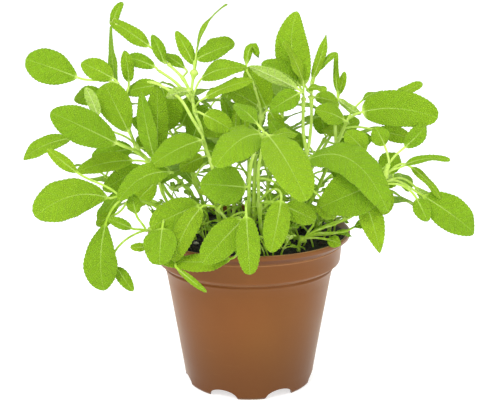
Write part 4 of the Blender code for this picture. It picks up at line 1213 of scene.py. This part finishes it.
def make_soil(finish):
    """The potting soil: a crumbly top strewn with loose crumbs, and a plain body below."""
    rng = random.Random(LOOKS_SEED)
    points = [Vector((0.0, 0.0, crumbly(0, 0, 0)))]
    for i in range(1, SOIL_RINGS + 1):
        for j in range(SOIL_SPOKES):
            x, y = spoke(SOIL_EDGE * i / SOIL_RINGS, j)
            points.append(Vector((x, y, crumbly(x, y, i / SOIL_RINGS))))
    body = ((BAND_RADIUS - 0.5, 87.4), (BAND_RADIUS - WALL - 0.6, 84.0),
            (BAND_RADIUS - WALL - 0.8, 80.0), (LEDGE_RADIUS - WALL - 0.6, 74.0),
            (WALL_TOP_RADIUS - WALL - 0.6, 70.0), (FOOT_RADIUS - 0.6, FLOOR_Z + FIT))
    for radius, height in body:
        points += [Vector((*spoke(radius, j), height)) for j in range(SOIL_SPOKES)]
    faces = [(0, 1 + j, 1 + (j + 1) % SOIL_SPOKES) for j in range(SOIL_SPOKES)]
    last = 1 + (SOIL_RINGS + len(body) - 1) * SOIL_SPOKES
    for low in range(1, last, SOIL_SPOKES):
        high = low + SOIL_SPOKES
        for j in range(SOIL_SPOKES):
            k = (j + 1) % SOIL_SPOKES
            faces.append((low + j, high + j, high + k, low + k))
    faces.append(tuple(range(last, last + SOIL_SPOKES))[::-1])
    grain = [0.5] * len(points)
    for _ in range(CRUMBS):
        radius = SOIL_EDGE * math.sqrt(rng.random()) * CRUMB_SPREAD
        angle = rng.uniform(0, math.tau)
        x, y = radius * math.cos(angle), radius * math.sin(angle)
        size = CRUMB_SIZE[0] + (CRUMB_SIZE[1] - CRUMB_SIZE[0]) * rng.random() ** 2.2
        place = Vector((x, y, crumbly(x, y, radius / SOIL_EDGE) + size * 0.2))
        more, quads = crumb(place, size, rng)
        faces += [tuple(k + len(points) for k in face) for face in quads]
        points += more
        grain += [rng.random()] * len(more)
    mesh = bpy.data.meshes.new("fine_soil")
    mesh.from_pydata([point * MM for point in points], [], faces)
    layer = mesh.attributes.new("grain", "FLOAT", "POINT")
    layer.data.foreach_set("value", grain)
    return dress(add_object("fine_soil", turn_outward(mesh)), finish)


# ---------------------------------------------------------------- materials

class Shader:
    """A material's node tree, built up in short calls."""

    def __init__(self, name):
        self.material = bpy.data.materials.new(name)
        self.material.use_nodes = True
        self.tree = self.material.node_tree
        self.surface = self.tree.nodes["Principled BSDF"]

    def add(self, kind, inputs, output=0, **settings):
        made = self.tree.nodes.new("ShaderNode" + kind)
        for key, value in settings.items():
            setattr(made, key, value)
        for socket, value in inputs.items():
            self.put(made, socket, value)
        return made.outputs[output]

    def put(self, made, socket, value):
        if isinstance(value, bpy.types.NodeSocket):
            self.tree.links.new(value, made.inputs[socket])
        else:
            made.inputs[socket].default_value = value

    def math(self, operation, *values, clamp=False):
        return self.add("Math", dict(enumerate(values)), operation=operation, use_clamp=clamp)

    def ramp(self, value, low, high, to_low=0.0, to_high=1.0):
        return self.add("MapRange", {0: value, 1: low, 2: high, 3: to_low, 4: to_high},
                        interpolation_type="SMOOTHSTEP")

    def blend(self, share, a, b, mode="MIX"):
        colours = [(*c, 1.0) if isinstance(c, tuple) else c for c in (a, b)]
        return self.add("Mix", {0: share, 6: colours[0], 7: colours[1]}, output=2,
                        data_type="RGBA", blend_type=mode)

    def attribute(self, name, output="Vector"):
        return self.add("Attribute", {}, output=output, attribute_name=name,
                        attribute_type="GEOMETRY")

    def parts(self, vector):
        return self.add("SeparateXYZ", {0: vector}).node.outputs

    def noise(self, vector, scale, detail=3.0, roughness=0.55):
        return self.add("TexNoise", {"Vector": vector, "Scale": scale, "Detail": detail,
                                     "Roughness": roughness})

    def place(self):
        return self.add("TexCoord", {}, output="Object")


def sage_finish():
    """Downy, pebbled sage leaf: bright above, greyer below, pale veins and stalks, with shade
    painted into the grooves between the pebbles.
    """
    s = Shader("sage_leaf")
    along, across, share = s.parts(s.attribute("blade"))
    blade, under, tint = s.parts(s.attribute("part"))
    off = s.math("ABSOLUTE", across)
    flat = s.add("CombineXYZ", {0: along, 1: across, 2: s.math("MULTIPLY", tint, 40.0)})

    slack = s.math("MULTIPLY_ADD", share, -0.42, 0.62)
    midrib = s.add("MapRange", {0: off, 1: 0.12, 2: slack, 3: 1.0, 4: 0.0},
                   interpolation_type="SMOOTHSTEP")
    turned_side = s.math("MULTIPLY", s.math("SIGN", across), VEIN_STAGGER)
    order = s.math("MULTIPLY_ADD", off, -VEIN_SLANT, along)
    order = s.math("ADD", s.math("DIVIDE", order, VEIN_PITCH), turned_side)
    wander = s.math("MULTIPLY", s.math("SUBTRACT", s.noise(flat, 0.35, 2.0), 0.5), 0.22)
    gap = s.math("PINGPONG", s.math("ADD", order, wander), 0.5)
    vein = s.ramp(gap, 0.015, 0.10, 1.0, 0.0)
    cell = s.add("TexVoronoi", {"Vector": flat, "Scale": 0.85, "Randomness": 0.9},
                 feature="DISTANCE_TO_EDGE")
    pebble = s.ramp(cell, 0.0, 0.32)

    broad = s.noise(s.place(), 55.0, 2.0)
    fresh = s.math("ADD", s.math("MULTIPLY", tint, 0.6), s.math("MULTIPLY", broad, 0.5), clamp=True)
    upper = s.blend(fresh, (0.230, 0.422, 0.013), (0.394, 0.585, 0.019))
    # painted shade: the grooves between the raised pebbles are darkened
    upper = s.blend(s.ramp(pebble, 0.0, 1.0, 0.34, 0.0), upper, (0.13, 0.31, 0.008))
    upper = s.blend(s.math("MULTIPLY", vein, 0.17), upper, (0.50, 0.74, 0.12))
    pale = s.math("MULTIPLY", midrib, s.ramp(share, 0.05, 0.8, 0.75, 0.25))
    upper = s.blend(pale, upper, (0.64, 0.84, 0.20))
    lower = s.blend(broad, (0.42, 0.64, 0.08), (0.56, 0.76, 0.16))
    lower = s.blend(s.math("MULTIPLY", vein, 0.5), lower, (0.70, 0.84, 0.32))
    lower = s.blend(s.math("MULTIPLY", midrib, 0.8), lower, (0.76, 0.90, 0.36))
    height = s.parts(s.place())[2]
    stalk = s.blend(s.ramp(height, 0.100, 0.150), (0.46, 0.68, 0.05), (0.64, 0.82, 0.16))
    stalk = s.blend(s.ramp(s.noise(s.place(), 260.0, 2.0), 0.4, 0.8, 0.0, 0.6), stalk,
                    (0.84, 0.94, 0.38))
    colour = s.blend(blade, stalk, s.blend(under, upper, lower))

    down = s.noise(s.place(), 2600.0, 2.0, 0.6)
    height = s.math("ADD", s.math("MULTIPLY", pebble, 0.9), s.math("MULTIPLY", down, 0.35))
    height = s.math("SUBTRACT", height, s.math("MULTIPLY", vein, 0.6))
    height = s.math("MULTIPLY", height, s.ramp(blade, 0.0, 1.0, 0.15, 1.0))
    bump = s.add("Bump", {"Height": height, "Strength": 1.0, "Distance": 0.0004})
    s.put(s.surface, "Base Color", colour)
    s.put(s.surface, "Normal", bump)
    s.put(s.surface, "Roughness", s.ramp(pebble, 0.0, 1.0, 0.7, 0.48))
    s.put(s.surface, "Sheen Weight", s.ramp(pebble, 0.3, 1.0, 0.0, 0.09))
    s.put(s.surface, "Sheen Tint", (0.75, 0.95, 0.45, 1.0))
    s.put(s.surface, "Sheen Roughness", 0.45)
    s.put(s.surface, "Specular IOR Level", 0.2)
    glow = s.add("BsdfTranslucent", {"Color": s.blend(0.5, colour, (0.56, 0.84, 0.03)),
                                     "Normal": bump})
    mixed = s.add("MixShader", {0: 0.34, 1: s.surface.outputs[0], 2: glow})
    s.tree.links.new(mixed, s.tree.nodes["Material Output"].inputs["Surface"])
    return s.material


def pot_finish():
    """Warm brown moulded plastic with faint mottling, rub marks and flow lines; shade is painted
    towards the foot and into the groove under the lip, highlights onto the lip's top edge and the
    bead below it.
    """
    s = Shader("brown_plastic")
    place = s.place()
    height = s.parts(place)[2]
    mottle = s.noise(place, 38.0, 4.0, 0.6)
    cloud = s.noise(place, 11.0, 2.0)
    colour = s.blend(mottle, (0.158, 0.051, 0.0075), (0.195, 0.065, 0.0105))
    colour = s.blend(s.ramp(cloud, 0.35, 0.75, 0.0, 0.45), colour, (0.180, 0.080, 0.010))
    # painted shade: the pot's colour darkens towards its foot
    colour = s.blend(s.ramp(height, 0.0, 0.062, 0.8, 0.0), colour, (0.100, 0.031, 0.005))
    # painted shade: a dark band in the groove under the lip, where the lip's overhang shades the
    # rim band
    painted_groove_shade = s.math("MULTIPLY", s.ramp(height, 0.0866, 0.0880),
                    s.ramp(height, 0.0899, 0.0905, 1, 0))
    colour = s.blend(s.math("MULTIPLY", painted_groove_shade, 0.7), colour, (0.085, 0.022, 0.006))
    # painted highlights: a pale line along the bead under the groove and along the lip's top edge
    bead = s.math("ABSOLUTE", s.math("SUBTRACT", height, 0.0863))
    painted_edge_highlight = s.math("MAXIMUM", s.ramp(bead, 0.0002, 0.0007, 1, 0), s.ramp(height, 0.0924, 0.0929))
    colour = s.blend(s.math("MULTIPLY", painted_edge_highlight, 0.45), colour, (0.42, 0.21, 0.09))
    squeezed = s.add("Mapping", {0: place, 3: (60.0, 60.0, 700.0)})
    rubs = s.noise(squeezed, 1.0, 4.0, 0.7)
    colour = s.blend(s.ramp(rubs, 0.60, 0.80, 0.0, 0.12), colour, (0.36, 0.16, 0.06))
    s.put(s.surface, "Base Color", colour)
    s.put(s.surface, "Roughness", s.ramp(mottle, 0.3, 0.7, 0.33, 0.43))
    s.put(s.surface, "Specular IOR Level", 0.22)
    s.put(s.surface, "Sheen Weight", 0.22)
    s.put(s.surface, "Sheen Roughness", 0.35)
    s.put(s.surface, "Sheen Tint", (1.0, 0.80, 0.62, 1.0))
    grain = s.noise(place, 900.0, 2.0)
    lines = s.noise(s.add("Mapping", {0: place, 3: (180.0, 180.0, 9.0)}), 1.0, 2.0)
    relief = s.math("ADD", s.math("MULTIPLY", grain, 0.35), s.math("MULTIPLY", lines, 0.65))
    s.put(s.surface, "Normal", s.add("Bump", {"Height": relief, "Strength": 0.22,
                                              "Distance": 0.0002}))
    return s.material


def soil_finish():
    """Near black peat with browner crumbs and a few pale grains."""
    s = Shader("potting_soil")
    place = s.place()
    grain = s.attribute("grain", "Fac")
    damp = s.noise(place, 420.0, 5.0, 0.7)
    colour = s.blend(damp, (0.003, 0.003, 0.003), (0.015, 0.012, 0.009))
    colour = s.blend(s.ramp(grain, 0.55, 0.95, 0.0, 0.8), colour, (0.034, 0.021, 0.012))
    colour = s.blend(s.ramp(grain, 0.965, 0.985), colour, (0.42, 0.39, 0.34))
    s.put(s.surface, "Base Color", colour)
    s.put(s.surface, "Roughness", s.ramp(damp, 0.3, 0.7, 0.6, 0.95))
    rough = s.math("ADD", s.noise(place, 1500.0, 4.0, 0.7), damp)
    s.put(s.surface, "Normal", s.add("Bump", {"Height": rough, "Strength": 0.9,
                                              "Distance": 0.0006}))
    return s.material


# ---------------------------------------------------------------- studio

def make_floor():
    mesh = bpy.data.meshes.new("floor")
    corners = ((-1, -1), (1, -1), (1, 1), (-1, 1))
    mesh.from_pydata([(x * FLOOR_REACH, y * FLOOR_REACH, 0) for x, y in corners], [],
                     [(0, 1, 2, 3)])
    s = Shader("pale_floor")
    s.put(s.surface, "Base Color", (0.55, 0.55, 0.55, 1.0))
    s.put(s.surface, "Roughness", 0.9)
    s.put(s.surface, "Specular IOR Level", 0.1)
    s.put(s.surface, "Emission Color", (1.0, 1.0, 1.0, 1.0))
    s.put(s.surface, "Emission Strength", 0.64)
    dress(add_object("floor", mesh), s.material)


def make_light(name, place, size, power):
    lamp = bpy.data.lights.new(name, "AREA")
    lamp.shape = "DISK"
    lamp.size = size
    lamp.energy = power
    made = add_object(name, lamp)
    made.location = place
    aim = Vector(LIGHT_TARGET) - Vector(place)
    made.rotation_euler = aim.to_track_quat("-Z", "Y").to_euler()


def make_studio():
    scene = bpy.context.scene
    scene.view_settings.view_transform = "Standard"
    sky = bpy.data.worlds.new("studio")
    sky.use_nodes = True
    backdrop = sky.node_tree.nodes["Background"]
    backdrop.inputs["Color"].default_value = (1.0, 1.0, 1.0, 1.0)
    backdrop.inputs["Strength"].default_value = 1.0
    scene.world = sky
    make_floor()
    for light in LIGHTS:
        make_light(*light)
    eye = bpy.data.cameras.new("camera")
    eye.sensor_width = SENSOR
    eye.lens = LENS
    camera = add_object("camera", eye)
    camera.location = CAMERA_PLACE
    camera.rotation_euler = (math.radians(90.0 - CAMERA_TILT), 0.0, 0.0)
    scene.camera = camera


# ---------------------------------------------------------------- assembly

def stand_in(piece, node):
    """The piece rides on the one body and is shown instead of its solid."""
    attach(piece, "root")
    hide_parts(node)


def main():
    make_studio()
    stand_in(make_pot(pot_finish()), "pot")
    stand_in(make_soil(soil_finish()), "soil")
    thicket = Thicket()
    thicket.add("pot", *soup(frame["nodes"]["pot"].data))
    thicket.add("soil", *soup(frame["nodes"]["soil"].data))
    rng = random.Random(SEED)
    sprigs = lay_out_sprigs(thicket, rng)
    for ring in RINGS:
        for number in range(ring.count):
            sprigs.append(grow_sprig(thicket, ring, number, rng))
    sage = sage_finish()
    looks = random.Random(LOOKS_SEED)
    for sprig in sprigs:
        stand_in(fine_sprig(sprig, sage, looks), sprig.name)
    seedlings = make_seedlings(thicket, sprigs, sage)
    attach(seedlings, "root")


main()
